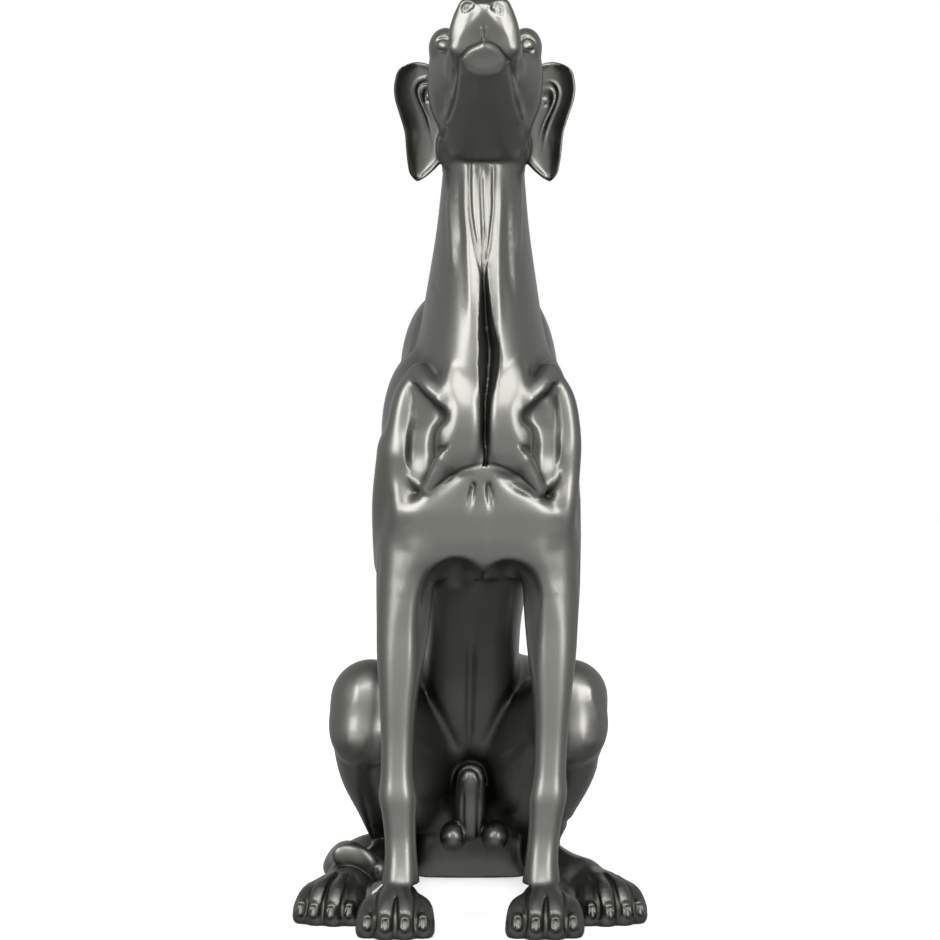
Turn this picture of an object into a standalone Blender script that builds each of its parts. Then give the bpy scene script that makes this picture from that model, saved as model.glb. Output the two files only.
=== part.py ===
"""Seated greyhound with its head raised, cast in one piece.

Metres, +Z up. The dog faces -Y, so +X is its own left, and it stands on z = 0.
Its forms are lofts, limbs and lumps, fused by a voxel remesh, softened, carved and thinned out.
"""

import math

import bmesh
import bpy
import numpy as np
from mathutils import Matrix, Vector

# Driving dimensions, in metres.
HEIGHT = 0.806  # floor to the top of the nose
EAR_THICKNESS = 0.006
FLESH_VOXEL = 0.004  # grain of the large forms before they are softened
DETAIL_VOXEL = 0.0022  # grain that keeps the toes and the ears
FLOOR_SLAB = 0.05  # thickness of the cutter that flattens the underside

# Counts.
FLESH_SOFTENING = 14
DETAIL_SOFTENING = 2
FACES = 9600
RING_POINTS = 28

# The proportions below are in parts, 806 to the height.
PART = HEIGHT / 806
LEAN_STEPS = ((0, 0), (150, 3.5), (300, 7.5), (460, 10), (806, 14))  # how far each level stands to the dog's left
HAUNCH_SHIFT = -5  # the haunches and the shoulders stand a little to the dog's right
SHOULDER_SHIFT = -3

# The head has a frame of its own: X to the dog's left, Y along the head to the nose, Z to its crown.
HEAD_PITCH = math.radians(22)
HEAD_TURN = 0.018  # the muzzle points this much to the dog's right
OCCIPUT = (0, -63, 717)

# Trunk and neck in level slices: height, front, back, half width, middle across.
TRUNK = (
    (-6, 104, 188, 54, 0),
    (20, 97, 206, 63, 0),
    (60, 86, 217, 70, -1),
    (100, 68, 216, 70, -2),
    (140, 44, 207, 64, -4),
    (180, 17, 193, 56, -5),
    (220, -14, 174, 48, -6),
    (260, -52, 155, 46, -6),
    (300, -94, 136, 54, -4),
    (340, -134, 117, 68, -1),
    (380, -149, 99, 76, 1),
    (420, -152, 82, 77, 2),
    (460, -152, 65, 73, 2),
    (500, -150, 47, 65, 1),
    (540, -144, 28, 55, 0),
    (580, -133, 10, 48, 0),
    (620, -121, -8, 42, 0),
    (660, -109, -20, 37.5, 0),
    (700, -96, -32, 33.5, 0),
    (725, -88, -44, 24, 0),
)
TRUNK_LEVELS = 64

# Foreleg in level slices: height, middle across, middle along, half width, half depth.
FORELEG = (
    (372, 60, -96, 25, 36),
    (345, 63, -98, 27, 35),
    (310, 65, -103, 26.5, 33),
    (275, 66, -111, 25, 29),
    (240, 67, -120, 22, 24),
    (200, 68, -128, 17, 19),
    (160, 67.5, -133, 15, 16.5),
    (135, 67, -136, 15.2, 17),
    (117, 66, -138, 17, 18.5),
    (98, 64.5, -140, 14.8, 16.5),
    (78, 63, -142, 13.8, 15.5),
    (60, 62, -145, 14.5, 17),
    (42, 62, -150, 17, 20),
)
FORELEG_LEVELS = 40

# Head in slices along its own frame: distance from the occiput, half width, underside, top.
SKULL = (
    (-9, 12, 2, 26),
    (5, 32, -24, 42),
    (28, 44, -36, 50),
    (58, 49.5, -40, 52),
    (82, 50.5, -38, 48),
    (98, 43, -32, 40),
    (116, 31, -24, 27),
)
UPPER_JAW = (
    (75, 36, -27, 38),
    (100, 34.5, -28, 32),
    (125, 32.5, -28, 26),
    (148, 31, -27, 23),
    (165, 29, -24, 21.5),
    (178, 25.5, -19, 21),
    (188, 17, -9, 17),
)
LOWER_JAW = (
    (6, 36, -50, 0),
    (35, 41, -54, 0),
    (65, 38, -52, -8),
    (95, 32, -48, -14),
    (125, 26, -43, -14),
    (148, 23, -38, -12),
    (168, 20, -35, -12),
    (177, 13, -31, -14),
)
HEAD_LEVELS = 22

# Ear in level rows: height, edge at the head, outer edge.
EAR = (
    (764, 54, 66),
    (758, 44, 75),
    (748, 38, 79.5),
    (735, 35, 80),
    (720, 35, 76),
    (705, 35, 71.5),
    (690, 36, 70),
    (677, 40, 68.5),
    (668, 49, 66.5),
    (661, 58, 62),
)
EAR_ROWS = 16
EAR_STEPS = 8
EAR_FRONT = -80  # middle of the ear along Y at its top
EAR_TRAIL = 0.16  # how far the ear trails back for each part it hangs down
EAR_CUP = 9  # how far its rim stands forward of its middle

# Toes: places across the paw and how far each tip falls short of the longest.
FORE_TOES = ((-24, 7), (-8.5, 0), (8.5, 0), (24, 8))
HIND_TOES = ((-22.5, 7), (-8, 0), (8, 0), (21.5, 5))
FORE_PAW = (65, -150)
HIND_PAW = (114, -80)
HIND_PAW_TURN = math.radians(16)


# Carving, as seen from the front: path across and up, half width, depth.
CARVED_FRONT = -70  # only what lies ahead of this is carved
SIDE_STROKES = (
    (((53, 462), (57, 430), (56, 388)), 10, 9),
    (((0, 408), (12, 405), (26, 395), (42, 380), (54, 370)), 4.5, 5),
    (((16, 665), (10, 610), (3, 570)), 4, 3),
    (((10, 390), (12, 374)), 5, 3),
    (((30, 645), (32, 600), (36, 550)), 8, 3),
    (((0, 769), (9, 766), (18, 760), (28, 755)), 2.6, 4),
)
MIDDLE_STROKES = ((((0, 660), (0, 600), (1, 540), (1, 470), (2, 413)), 4.5, 6),)


def clear_scene():
    """Empties the scene of its objects."""
    for obj in list(bpy.data.objects):
        bpy.data.objects.remove(obj)


def smooth_rows(stations, count):
    """Evenly spaced rows read from a smooth curve through the stations, along their first column."""
    rows = np.array(stations, float)
    at = rows[:, 0]
    slopes = np.gradient(rows, at, axis=0)
    if at[0] > at[-1]:
        rows, slopes, at = rows[::-1], slopes[::-1], at[::-1]
    wanted = np.linspace(at[0], at[-1], count)
    low = np.clip(np.searchsorted(at, wanted, side="right") - 1, 0, len(at) - 2)
    span = (at[low + 1] - at[low])[:, None]
    t = (wanted[:, None] - at[low][:, None]) / span
    return (
        rows[low] * (1 + 2 * t) * (1 - t) ** 2
        + slopes[low] * span * t * (1 - t) ** 2
        + rows[low + 1] * t**2 * (3 - 2 * t)
        + slopes[low + 1] * span * t**2 * (t - 1)
    )


def add_mesh(name, form):
    """Turns a bmesh in parts into an object in metres."""
    bmesh.ops.scale(form, vec=(PART, PART, PART), verts=form.verts)
    mesh = bpy.data.meshes.new(name)
    form.to_mesh(mesh)
    form.free()
    obj = bpy.data.objects.new(name, mesh)
    bpy.context.scene.collection.objects.link(obj)
    return obj


def loft(name, rings):
    """A closed solid through rings that have equally many points."""
    form = bmesh.new()
    loops = [[form.verts.new(point) for point in ring] for ring in rings]
    for near, far in zip(loops, loops[1:]):
        for i, _ in enumerate(near):
            j = (i + 1) % len(near)
            form.faces.new((near[i], near[j], far[j], far[i]))
    form.faces.new(loops[0])
    form.faces.new(loops[-1])
    bmesh.ops.recalc_face_normals(form, faces=form.faces)
    return add_mesh(name, form)


def turns():
    """The angles of the points round a ring."""
    return [2 * math.pi * i / RING_POINTS for i in range(RING_POINTS)]


def trunk():
    """Trunk and neck: level oval slices, narrower towards the keel of the chest."""
    rings = []
    for z, front, back, half, x in smooth_rows(TRUNK, TRUNK_LEVELS):
        middle, depth = (front + back) / 2, (back - front) / 2
        rings.append(
            [
                Vector((x + half * math.cos(a) * (1 + 0.06 * math.sin(a)), middle + depth * math.sin(a), z))
                for a in turns()
            ]
        )
    return loft("trunk", rings)


def foreleg():
    """The left foreleg from the elbow to the pastern."""
    rings = [
        [Vector((x + half * math.cos(a), y + depth * math.sin(a), z)) for a in turns()]
        for z, x, y, half, depth in smooth_rows(FORELEG, FORELEG_LEVELS)
    ]
    return loft("foreleg", rings)


def head_frame():
    """The matrix from the head's own frame to the figure's, in parts."""
    forward = Vector((0, -math.cos(HEAD_PITCH), math.sin(HEAD_PITCH)))
    crown = Vector((0, math.sin(HEAD_PITCH), math.cos(HEAD_PITCH)))
    across = Vector((1, 0, 0))
    turned = Matrix((across, forward, crown)).transposed().to_4x4()
    return Matrix.Translation(OCCIPUT) @ turned


def on_head(x, along, up):
    """A point given in the head's own frame."""
    return head_frame() @ Vector((x - HEAD_TURN * (along - 90), along, up))


def head_part(name, stations):
    """A stretch of the head: oval slices across its own frame."""
    rings = [
        [
            on_head(half * math.cos(a), along, (low + high) / 2 + (high - low) / 2 * math.sin(a))
            for a in turns()
        ]
        for along, half, low, high in smooth_rows(stations, HEAD_LEVELS)
    ]
    return loft(name, rings)


def limb(name, points, radii, steps=7, cap_rings=4):
    """A round tapering limb along a smooth path, with domed ends."""
    marks = [(i, *point, radius) for i, (point, radius) in enumerate(zip(points, radii))]
    rows = smooth_rows(marks, (len(points) - 1) * steps + 1)[:, 1:]
    path = [Vector(row[:3]) for row in rows]
    ahead = [(path[min(i + 1, len(path) - 1)] - path[max(i - 1, 0)]).normalized() for i in range(len(path))]
    first, last = rows[0][3], rows[-1][3]
    dome = [math.pi / 2 * i / cap_rings for i in range(1, cap_rings)]
    sections = [(path[0] - ahead[0] * first * math.sin(a), ahead[0], first * math.cos(a)) for a in reversed(dome)]
    sections += [(centre, way, row[3]) for centre, way, row in zip(path, ahead, rows)]
    sections += [(path[-1] + ahead[-1] * last * math.sin(a), ahead[-1], last * math.cos(a)) for a in dome]
    reference = Vector((1, 0, 0)) if abs(ahead[0].x) < 0.8 else Vector((0, 0, 1))
    rings = []
    for centre, way, radius in sections:
        side = (reference - way * reference.dot(way)).normalized()
        up = way.cross(side)
        rings.append([centre + (side * math.cos(a) + up * math.sin(a)) * radius for a in turns()])
    return loft(name, rings)


def lump(name, centre, radii, turn=(0, 0, 0)):
    """An egg-shaped mass. The turn is in degrees about X, Y and Z."""
    form = bmesh.new()
    bmesh.ops.create_uvsphere(form, u_segments=24, v_segments=16, radius=1)
    spin = Matrix.Identity(4)
    for axis, angle in zip("XYZ", turn):
        spin = Matrix.Rotation(math.radians(angle), 4, axis) @ spin
    place = Matrix.Translation(centre) @ spin @ Matrix.Diagonal((*radii, 1))
    bmesh.ops.transform(form, matrix=place, verts=form.verts)
    return add_mesh(name, form)


def head_lump(name, centre, radii):
    """An egg-shaped mass placed and turned with the head."""
    return lump(name, on_head(*centre), radii, turn=(-math.degrees(HEAD_PITCH) + 180, 0, 180))


def ear():
    """The left ear: a cupped leaf of even thickness, its hollow side to the front."""
    form = bmesh.new()
    rows = []
    for z, inner, outer in smooth_rows(EAR, EAR_ROWS):
        row = []
        for i in range(EAR_STEPS + 1):
            share = i / EAR_STEPS
            rim = (2 * share - 1) ** 2
            drop = EAR[0][0] - z
            y = EAR_FRONT + EAR_TRAIL * drop - EAR_CUP * rim * share + EAR_CUP * (1 - rim) * 0.6
            row.append(form.verts.new((inner + (outer - inner) * share, y, z)))
        rows.append(row)
    for low, high in zip(rows, rows[1:]):
        for i in range(EAR_STEPS):
            form.faces.new((low[i], low[i + 1], high[i + 1], high[i]))
    leaf = add_mesh("ear", form)
    skin = leaf.modifiers.new("Thickness", "SOLIDIFY")
    skin.thickness = EAR_THICKNESS
    skin.offset = 0
    return baked(leaf)


def paw(name, place, turn, toes, reach):
    """A paw and its toes, which arch from the instep down to the floor."""
    ahead = Vector((math.sin(turn), -math.cos(turn), 0))
    across = Vector((math.cos(turn), math.sin(turn), 0))
    heel = Vector((*place, 0))

    def at(side, forward, up):
        return heel + across * side + ahead * forward + Vector((0, 0, up))

    forms = [limb(name + "_pad", [at(0, -14, 20), at(0, 14, 19)], [22, 25])]
    for side, short in toes:
        tip = reach - short
        arch = 31 - 0.007 * side**2
        path = [
            at(side * 0.55, -4, arch),
            at(side * 0.88, tip - 27, arch),
            at(side, tip - 13, arch - 8),
            at(side, tip - 10, 6),
        ]
        forms.append(limb(name + "_toe", path, [9, 10.3, 10.5, 11], steps=4))
    return forms


def baked(obj):
    """Replaces an object by a plain mesh object of what its modifiers make."""
    graph = bpy.context.evaluated_depsgraph_get()
    mesh = bpy.data.meshes.new_from_object(obj.evaluated_get(graph))
    name = obj.name
    bpy.data.objects.remove(obj)
    plain = bpy.data.objects.new(name, mesh)
    bpy.context.scene.collection.objects.link(plain)
    return plain


def mirrored(obj):
    """A copy of an object on the dog's other side."""
    mesh = obj.data.copy()
    mesh.transform(Matrix.Diagonal((-1, 1, 1, 1)))
    mesh.flip_normals()
    twin = bpy.data.objects.new(obj.name + "_right", mesh)
    bpy.context.scene.collection.objects.link(twin)
    return twin


def both_sides(forms):
    """The forms with their mirror images."""
    return forms + [mirrored(form) for form in forms]


def outer_skin(obj):
    """Keeps only the largest skin of an object, which closes any pocket left between its forms."""
    form = bmesh.new()
    form.from_mesh(obj.data)
    waiting = set(form.verts)
    skins = []
    while waiting:
        skin = set()
        reach = [waiting.pop()]
        while reach:
            vert = reach.pop()
            skin.add(vert)
            beside = [edge.other_vert(vert) for edge in vert.link_edges]
            fresh = [other for other in beside if other in waiting]
            waiting.difference_update(fresh)
            reach += fresh
        skins.append(skin)
    largest = max(skins, key=len)
    bmesh.ops.delete(form, geom=[vert for skin in skins if skin is not largest for vert in skin], context="VERTS")
    form.to_mesh(obj.data)
    form.free()
    return obj


def fused(name, forms, voxel, softening):
    """Joins overlapping forms into one skin, then softens where they meet."""
    together = bmesh.new()
    for form in forms:
        together.from_mesh(form.data)
        bpy.data.objects.remove(form)
    mesh = bpy.data.meshes.new(name)
    together.to_mesh(mesh)
    together.free()
    obj = bpy.data.objects.new(name, mesh)
    bpy.context.scene.collection.objects.link(obj)
    grain = obj.modifiers.new("Fuse", "REMESH")
    grain.mode = "VOXEL"
    grain.voxel_size = voxel
    soft = obj.modifiers.new("Soften", "SMOOTH")
    soft.factor = 0.5
    soft.iterations = softening
    return outer_skin(baked(obj))


def large_forms():
    """Everything that flows together: trunk, neck, head, shoulders, haunches and feet."""
    left = [
        foreleg(),
        limb("upper_arm", [(60, -108, 418), (64, -96, 372), (66, -80, 322)], [30, 30, 26]),
        lump("breast", (25, -126, 432), (28, 32, 62)),
    ]
    haunches = both_sides(
        [
            limb("thigh", [(50, 146, 112), (65, 92, 132), (80, 38, 156), (92, -14, 186)], [62, 60, 50, 36]),
            lump("haunch", (54, 118, 128), (50, 82, 88), turn=(18, 0, 8)),
            limb("shank", [(97, -16, 165), (93, 30, 118), (84, 72, 76), (74, 104, 42)], [32, 29, 22, 19]),
            lump("hock", (72, 112, 30), (18, 23, 29)),
            limb("metatarsus", [(74, 104, 22), (83, 50, 23), (94, -10, 25), (106, -55, 26)], [20, 19, 20, 22]),
            lump("stone", (20, 66, 54), (15, 20, 16)),
        ]
    )
    shoulders = both_sides(
        [
            lump("scapula", (38, -34, 490), (34, 50, 82), turn=(-35, 0, 0)),
            lump("shoulder", (54, -78, 440), (33, 52, 72)),
        ]
    )
    for forms, shift in ((haunches, HAUNCH_SHIFT), (shoulders, SHOULDER_SHIFT)):
        for form in forms:
            form.data.transform(Matrix.Translation((shift * PART, 0, 0)))
    middle = [
        trunk(),
        head_part("skull", SKULL),
        head_part("upper_jaw", UPPER_JAW),
        head_part("lower_jaw", LOWER_JAW),
        lump("chest_apron", (0, -106, 358), (83, 44, 48)),
        limb("sheath", [(-4, 46, 105), (-4, 58, 85), (-4, 68, 56)], [15, 16, 16]),
    ]
    return middle + both_sides(left) + haunches + shoulders


def small_forms():
    """What keeps a sharper edge: ears, brows, cheeks, lips, nose, toes and tail."""
    left = [
        ear(),
        head_lump("brow", (35, 88, 25), (14.5, 20, 17)),
        head_lump("cheek", (30, 60, -8), (18, 34, 27)),
        head_lump("lip", (18.5, 158, -13), (13, 28, 15)),
    ]
    left += paw("fore_paw", FORE_PAW, 0, FORE_TOES, 50)
    left += paw("hind_paw", HIND_PAW, HIND_PAW_TURN, HIND_TOES, 62)
    tail = limb(
        "tail",
        [(0, 212, 34), (-48, 226, 16), (-102, 196, 12), (-124, 130, 11), (-128, 60, 18), (-119, 0, 40), (-109, -44, 53), (-76, -72, 36)],
        [22, 17, 14, 13, 12.5, 12.5, 13, 12],
    )
    return both_sides(left) + [head_lump("nose", (0, 181, 8), (22, 11, 13)), tail]


def carve(obj, strokes):
    """Presses strokes into the front of a skin.

    A stroke is a path across and up as seen from the front, its half width and its depth.
    A ridge has a depth below zero.
    """
    mesh = obj.data
    points = np.array([vertex.co for vertex in mesh.vertices]) / PART
    normals = np.array([vertex.normal for vertex in mesh.vertices])
    facing = np.clip(-normals[:, 1] * 1.6, 0, 1) * (points[:, 1] < CARVED_FRONT)
    seen = points[:, [0, 2]]
    for path, width, depth in strokes:
        nearest = np.full(len(points), np.inf)
        for start, end in zip(np.array(path, float), np.array(path[1:], float)):
            run = end - start
            t = np.clip((seen - start) @ run / (run @ run), 0, 1)
            nearest = np.minimum(nearest, np.linalg.norm(seen - start - t[:, None] * run, axis=1))
        points -= normals * (depth * facing * np.exp(-((nearest / width) ** 2)))[:, None]
    mesh.vertices.foreach_set("co", (points * PART).ravel())
    mesh.update()


def two_sided(strokes):
    """The strokes with their mirror images."""
    return [*strokes, *(([(-x, z) for x, z in path], width, depth) for path, width, depth in strokes)]


def greyhound():
    """The whole casting, flat underneath and centred over the origin."""
    flesh = fused("flesh", large_forms(), FLESH_VOXEL, FLESH_SOFTENING)
    figure = fused("greyhound", [flesh] + small_forms(), DETAIL_VOXEL, DETAIL_SOFTENING)
    carve(figure, [*two_sided(SIDE_STROKES), *MIDDLE_STROKES])
    thin = figure.modifiers.new("Thin out", "DECIMATE")
    thin.ratio = min(1, FACES / (2 * len(figure.data.polygons)))
    figure = baked(figure)
    levels, shifts = np.array(LEAN_STEPS).T * PART
    corners = np.array([vertex.co for vertex in figure.data.vertices])
    corners[:, 0] += np.interp(corners[:, 2], levels, shifts)
    corners[:, :2] -= (corners.min(0) + corners.max(0))[:2] / 2
    figure.data.vertices.foreach_set("co", corners.ravel())
    return figure


def cut_flat(figure):
    """Cuts the underside flat with a slab below the floor."""
    bpy.ops.mesh.primitive_cube_add(size=1, location=(0, 0, -FLOOR_SLAB / 2))
    slab = bpy.context.object
    slab.name = "floor_cutter"
    slab.data.transform(Matrix.Diagonal((HEIGHT, HEIGHT, FLOOR_SLAB, 1)))
    slab.hide_render = True
    slab.display_type = "WIRE"
    cut = figure.modifiers.new("Flat underside", "BOOLEAN")
    cut.operation = "DIFFERENCE"
    cut.object = slab
    return slab


def lacquer():
    """Dark warm grey metallic lacquer."""
    material = bpy.data.materials.new("gunmetal_lacquer")
    material.use_nodes = True
    shader = material.node_tree.nodes["Principled BSDF"]
    shader.inputs["Base Color"].default_value = (0.16, 0.16, 0.14, 1)
    shader.inputs["Metallic"].default_value = 0.8
    shader.inputs["Roughness"].default_value = 0.3
    return material


def collect(name, objects):
    """Puts objects in a collection of their own."""
    collection = bpy.data.collections.new(name)
    bpy.context.scene.collection.children.link(collection)
    for obj in objects:
        for holder in list(obj.users_collection):
            holder.objects.unlink(obj)
        collection.objects.link(obj)


def main():
    """Builds the statue."""
    clear_scene()
    figure = greyhound()
    slab = cut_flat(figure)
    figure.data.materials.append(lacquer())
    figure.data.shade_smooth()
    collect("greyhound_statue", [figure])
    collect("cutters", [slab])


main()
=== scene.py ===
"""The seated greyhound: one casting in dark metallic lacquer, on a pale studio floor.

The figure is modelled as a signed distance in millimetres: its masses flow together, then folds and
grooves are pressed into them. A mesh is drawn over the zero level, and stands for the solid.
"""

from __future__ import annotations

import logging
import math
from collections.abc import Iterable, Sequence
from concurrent.futures import ThreadPoolExecutor
from dataclasses import dataclass, field
from enum import Enum

import bmesh
import bpy
import numpy as np
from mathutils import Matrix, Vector
from mathutils.bvhtree import BVHTree

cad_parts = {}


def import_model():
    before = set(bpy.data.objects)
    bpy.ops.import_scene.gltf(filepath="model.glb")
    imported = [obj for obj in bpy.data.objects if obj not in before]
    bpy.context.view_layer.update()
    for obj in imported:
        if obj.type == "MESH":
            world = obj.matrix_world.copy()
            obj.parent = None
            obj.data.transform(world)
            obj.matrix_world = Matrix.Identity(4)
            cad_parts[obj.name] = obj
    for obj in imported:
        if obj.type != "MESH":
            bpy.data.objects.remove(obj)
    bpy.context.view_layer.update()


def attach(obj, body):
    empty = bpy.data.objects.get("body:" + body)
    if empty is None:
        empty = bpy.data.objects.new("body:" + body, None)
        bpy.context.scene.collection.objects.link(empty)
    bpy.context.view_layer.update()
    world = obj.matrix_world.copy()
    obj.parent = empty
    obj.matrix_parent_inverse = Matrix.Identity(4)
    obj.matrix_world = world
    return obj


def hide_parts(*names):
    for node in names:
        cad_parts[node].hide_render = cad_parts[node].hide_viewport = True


LOG = logging.getLogger("greyhound")
Array = np.ndarray
Point = Sequence[float]
Rows = Sequence[Point]
Colour = tuple[float, float, float, float]
Steps = list["Step"]

BAND = 9.0  # how far from a form its distance still counts, in mm
FAR = 99.0  # the distance given to points away from every form, in mm
LAYER = 30  # height of the layers that distances are worked out in, in mm
GOLDEN = 2.399963  # the golden angle, in radians
BATCH = 60000  # points worked out at a time
MIX_A, MIX_B, MIX_RESULT = 6, 7, 2  # the colour sockets of a Mix node
LEAN = ((0, 0), (150, 3.5), (300, 7.5), (460, 10), (806, 14))  # shift to the dog's left at each height
CENTRE = np.array((0.18, 1.62, 0.0))  # the figure's middle before it is centred on the frame


def smooth_rows(stations: Rows, count: int) -> Array:
    """Reads evenly spaced rows from a smooth curve through stations.

    Args:
        stations: Rows whose first column runs one way.
        count: How many rows to read.

    Returns:
        The rows, with their first column rising.
    """
    rows = np.array(stations, float)
    at = rows[:, 0]
    slopes = np.gradient(rows, at, axis=0)
    if at[0] > at[-1]:
        rows, slopes, at = rows[::-1], slopes[::-1], at[::-1]
    wanted = np.linspace(at[0], at[-1], count)
    low = np.clip(np.searchsorted(at, wanted, side="right") - 1, 0, len(at) - 2)
    span = (at[low + 1] - at[low])[:, None]
    t = (wanted[:, None] - at[low][:, None]) / span
    return (
        rows[low] * (1 + 2 * t) * (1 - t) ** 2
        + slopes[low] * span * t * (1 - t) ** 2
        + rows[low + 1] * t**2 * (3 - 2 * t)
        + slopes[low + 1] * span * t**2 * (t - 1)
    )


def smooth_path(points: Rows, steps: int) -> Array:
    """Rows along a smooth path through points, each point with any further values it carries.

    Args:
        points: The points.
        steps: Rows from one point to the next.

    Returns:
        The rows, or the points themselves where there are only two.
    """
    if len(points) < 3:
        return np.array(points, float)
    numbered = [(i, *point) for i, point in enumerate(points)]
    return smooth_rows(numbered, (len(points) - 1) * steps + 1)[:, 1:]


def soft_min(a: Array, b: Array, reach: float) -> Array:
    """The lower of two distances, rounded where they are within reach of each other.

    Args:
        a: One distance at each point.
        b: The other.
        reach: How near they blend, in mm.

    Returns:
        The blended distances.
    """
    if reach <= 0:
        return np.minimum(a, b)
    near = np.maximum(reach - np.abs(a - b), 0) / reach
    return np.minimum(a, b) - near**3 * reach / 6


def soft_max(a: Array, b: Array, reach: float) -> Array:
    """The higher of two distances, rounded where they are within reach of each other."""
    return -soft_min(-a, -b, reach)


def turned(x: float = 0, y: float = 0, z: float = 0) -> Array:
    """The rotation by degrees about X, then Y, then Z.

    Args:
        x: Degrees about X.
        y: Degrees about Y.
        z: Degrees about Z.

    Returns:
        The matrix.
    """
    matrix = np.eye(3)
    for axis, angle in ((0, x), (1, y), (2, z)):
        c, s = math.cos(math.radians(angle)), math.sin(math.radians(angle))
        turn = np.eye(3)
        i, j = ((1, 2), (2, 0), (0, 1))[axis]
        turn[i, i], turn[i, j], turn[j, i], turn[j, j] = c, -s, s, c
        matrix = turn @ matrix
    return matrix


class Form:
    """A solid given by its signed distance, in mm."""

    def bounds(self) -> tuple[Array, Array]:
        """The form's lowest and highest corners."""
        raise NotImplementedError

    def distance(self, points: Array) -> Array:
        """The signed distance at each point, below zero inside."""
        raise NotImplementedError


@dataclass
class Lump(Form):
    """An egg-shaped mass.

    Attributes:
        centre: Its middle.
        radii: Its half sizes.
        turn: Degrees about X, Y and Z.
    """

    centre: Point
    radii: Point
    turn: Point = (0, 0, 0)

    def __post_init__(self) -> None:
        """Works out the axes."""
        self.axes = turned(*self.turn)
        self.middle = np.array(self.centre, float)
        self.sizes = np.array(self.radii, float)

    def bounds(self) -> tuple[Array, Array]:
        """The form's lowest and highest corners."""
        reach = np.sqrt(((self.axes * self.sizes) ** 2).sum(1))
        return self.middle - reach, self.middle + reach

    def distance(self, points: Array) -> Array:
        """The signed distance at each point, below zero inside.

        Args:
            points: The points, in mm.

        Returns:
            The distances.
        """
        local = (points - self.middle) @ self.axes / self.sizes
        share = np.sqrt((local**2).sum(1))
        steep = np.sqrt(((local / self.sizes) ** 2).sum(1))
        return share * (share - 1) / np.maximum(steep, 1e-5)


@dataclass
class Limb(Form):
    """A round tapering limb along a smooth path.

    Attributes:
        marks: Points along it, each with the radius there.
        steps: Straight stretches from one mark to the next.
    """

    marks: Rows
    steps: int = 6

    def __post_init__(self) -> None:
        """Draws the path."""
        self.rows = smooth_path(self.marks, self.steps)

    def bounds(self) -> tuple[Array, Array]:
        """The form's lowest and highest corners."""
        reach = self.rows[:, 3:4]
        return (self.rows[:, :3] - reach).min(0), (self.rows[:, :3] + reach).max(0)

    def distance(self, points: Array) -> Array:
        """The signed distance at each point, below zero inside.

        Args:
            points: The points, in mm.

        Returns:
            The distances.
        """
        best = np.full(len(points), FAR)
        for start, end in zip(self.rows, self.rows[1:]):
            run = end[:3] - start[:3]
            away = points - start[:3]
            t = np.clip(away @ run / max(run @ run, 1e-9), 0, 1)
            gap = np.sqrt(((away - t[:, None] * run) ** 2).sum(1))
            best = np.minimum(best, gap - start[3] - t * (end[3] - start[3]))
        return best


@dataclass
class Slices(Form):
    """Oval slices across an axis.

    Attributes:
        stations: Place along the axis, half width, low edge, high edge and middle across.
        origin: Where the axis starts.
        axes: Rows for across, up the slice and along.
        square: 2 for an ellipse, more for a boxier slice.
        taper: How much wider the slice is at its high edge than at its middle, as a share.
    """

    stations: Rows
    origin: Point = (0, 0, 0)
    axes: Array = field(default_factory=lambda: np.eye(3))
    square: float = 2.0
    taper: float = 0.0

    def __post_init__(self) -> None:
        """Draws the smooth rows and their slopes."""
        self.rows = smooth_rows([(*row, 0)[:5] for row in self.stations], 160)
        self.slopes = np.gradient(self.rows, self.rows[:, 0], axis=0)

    def bounds(self) -> tuple[Array, Array]:
        """The form's lowest and highest corners.

        Returns:
            The lowest corner and the highest, in mm.
        """
        corners = []
        for at, half, low, high, middle in self.rows[::4]:
            wide = half * (1 + abs(self.taper))
            corners += [(x, y, at) for x in (middle - wide, middle + wide) for y in (low, high)]
        corners = np.array(corners) @ self.axes + np.array(self.origin, float)
        return corners.min(0), corners.max(0)

    def distance(self, points: Array) -> Array:
        """The signed distance at each point, below zero inside.

        Args:
            points: The points, in mm.

        Returns:
            The distances.
        """
        x, y, along = ((points - np.array(self.origin, float)) @ self.axes.T).T
        at = self.rows[:, 0]
        half, low, high, middle = (np.interp(along, at, self.rows[:, i]) for i in (1, 2, 3, 4))
        d_half, d_low, d_high, d_middle = (np.interp(along, at, self.slopes[:, i]) for i in (1, 2, 3, 4))
        deep, mid = (high - low) / 2, (high + low) / 2
        v = (y - mid) / deep
        wide = np.maximum(half * (1 + self.taper * np.clip(v, -1.2, 1.2)), 0.5)
        u = (x - middle) / wide
        n = self.square
        au, av = np.abs(u) ** (n - 1), np.abs(v) ** (n - 1)
        share = (au * np.abs(u) + av * np.abs(v)) ** (1 / n)
        scale = np.maximum(share, 0.05) ** (1 - n)
        gu, gv = scale * au / wide, scale * av / deep
        tilt_u = (-d_middle * np.sign(u) - np.abs(u) * d_half) / wide
        tilt_v = (-(d_low + d_high) / 2 * np.sign(v) - np.abs(v) * (d_high - d_low) / 2) / deep
        ga = scale * (au * tilt_u + av * tilt_v)
        near = (share - 1) / np.maximum(np.sqrt(gu**2 + gv**2 + ga**2), 1e-4)
        return np.maximum(near, np.maximum(at[0] - along, along - at[-1]))


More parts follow.
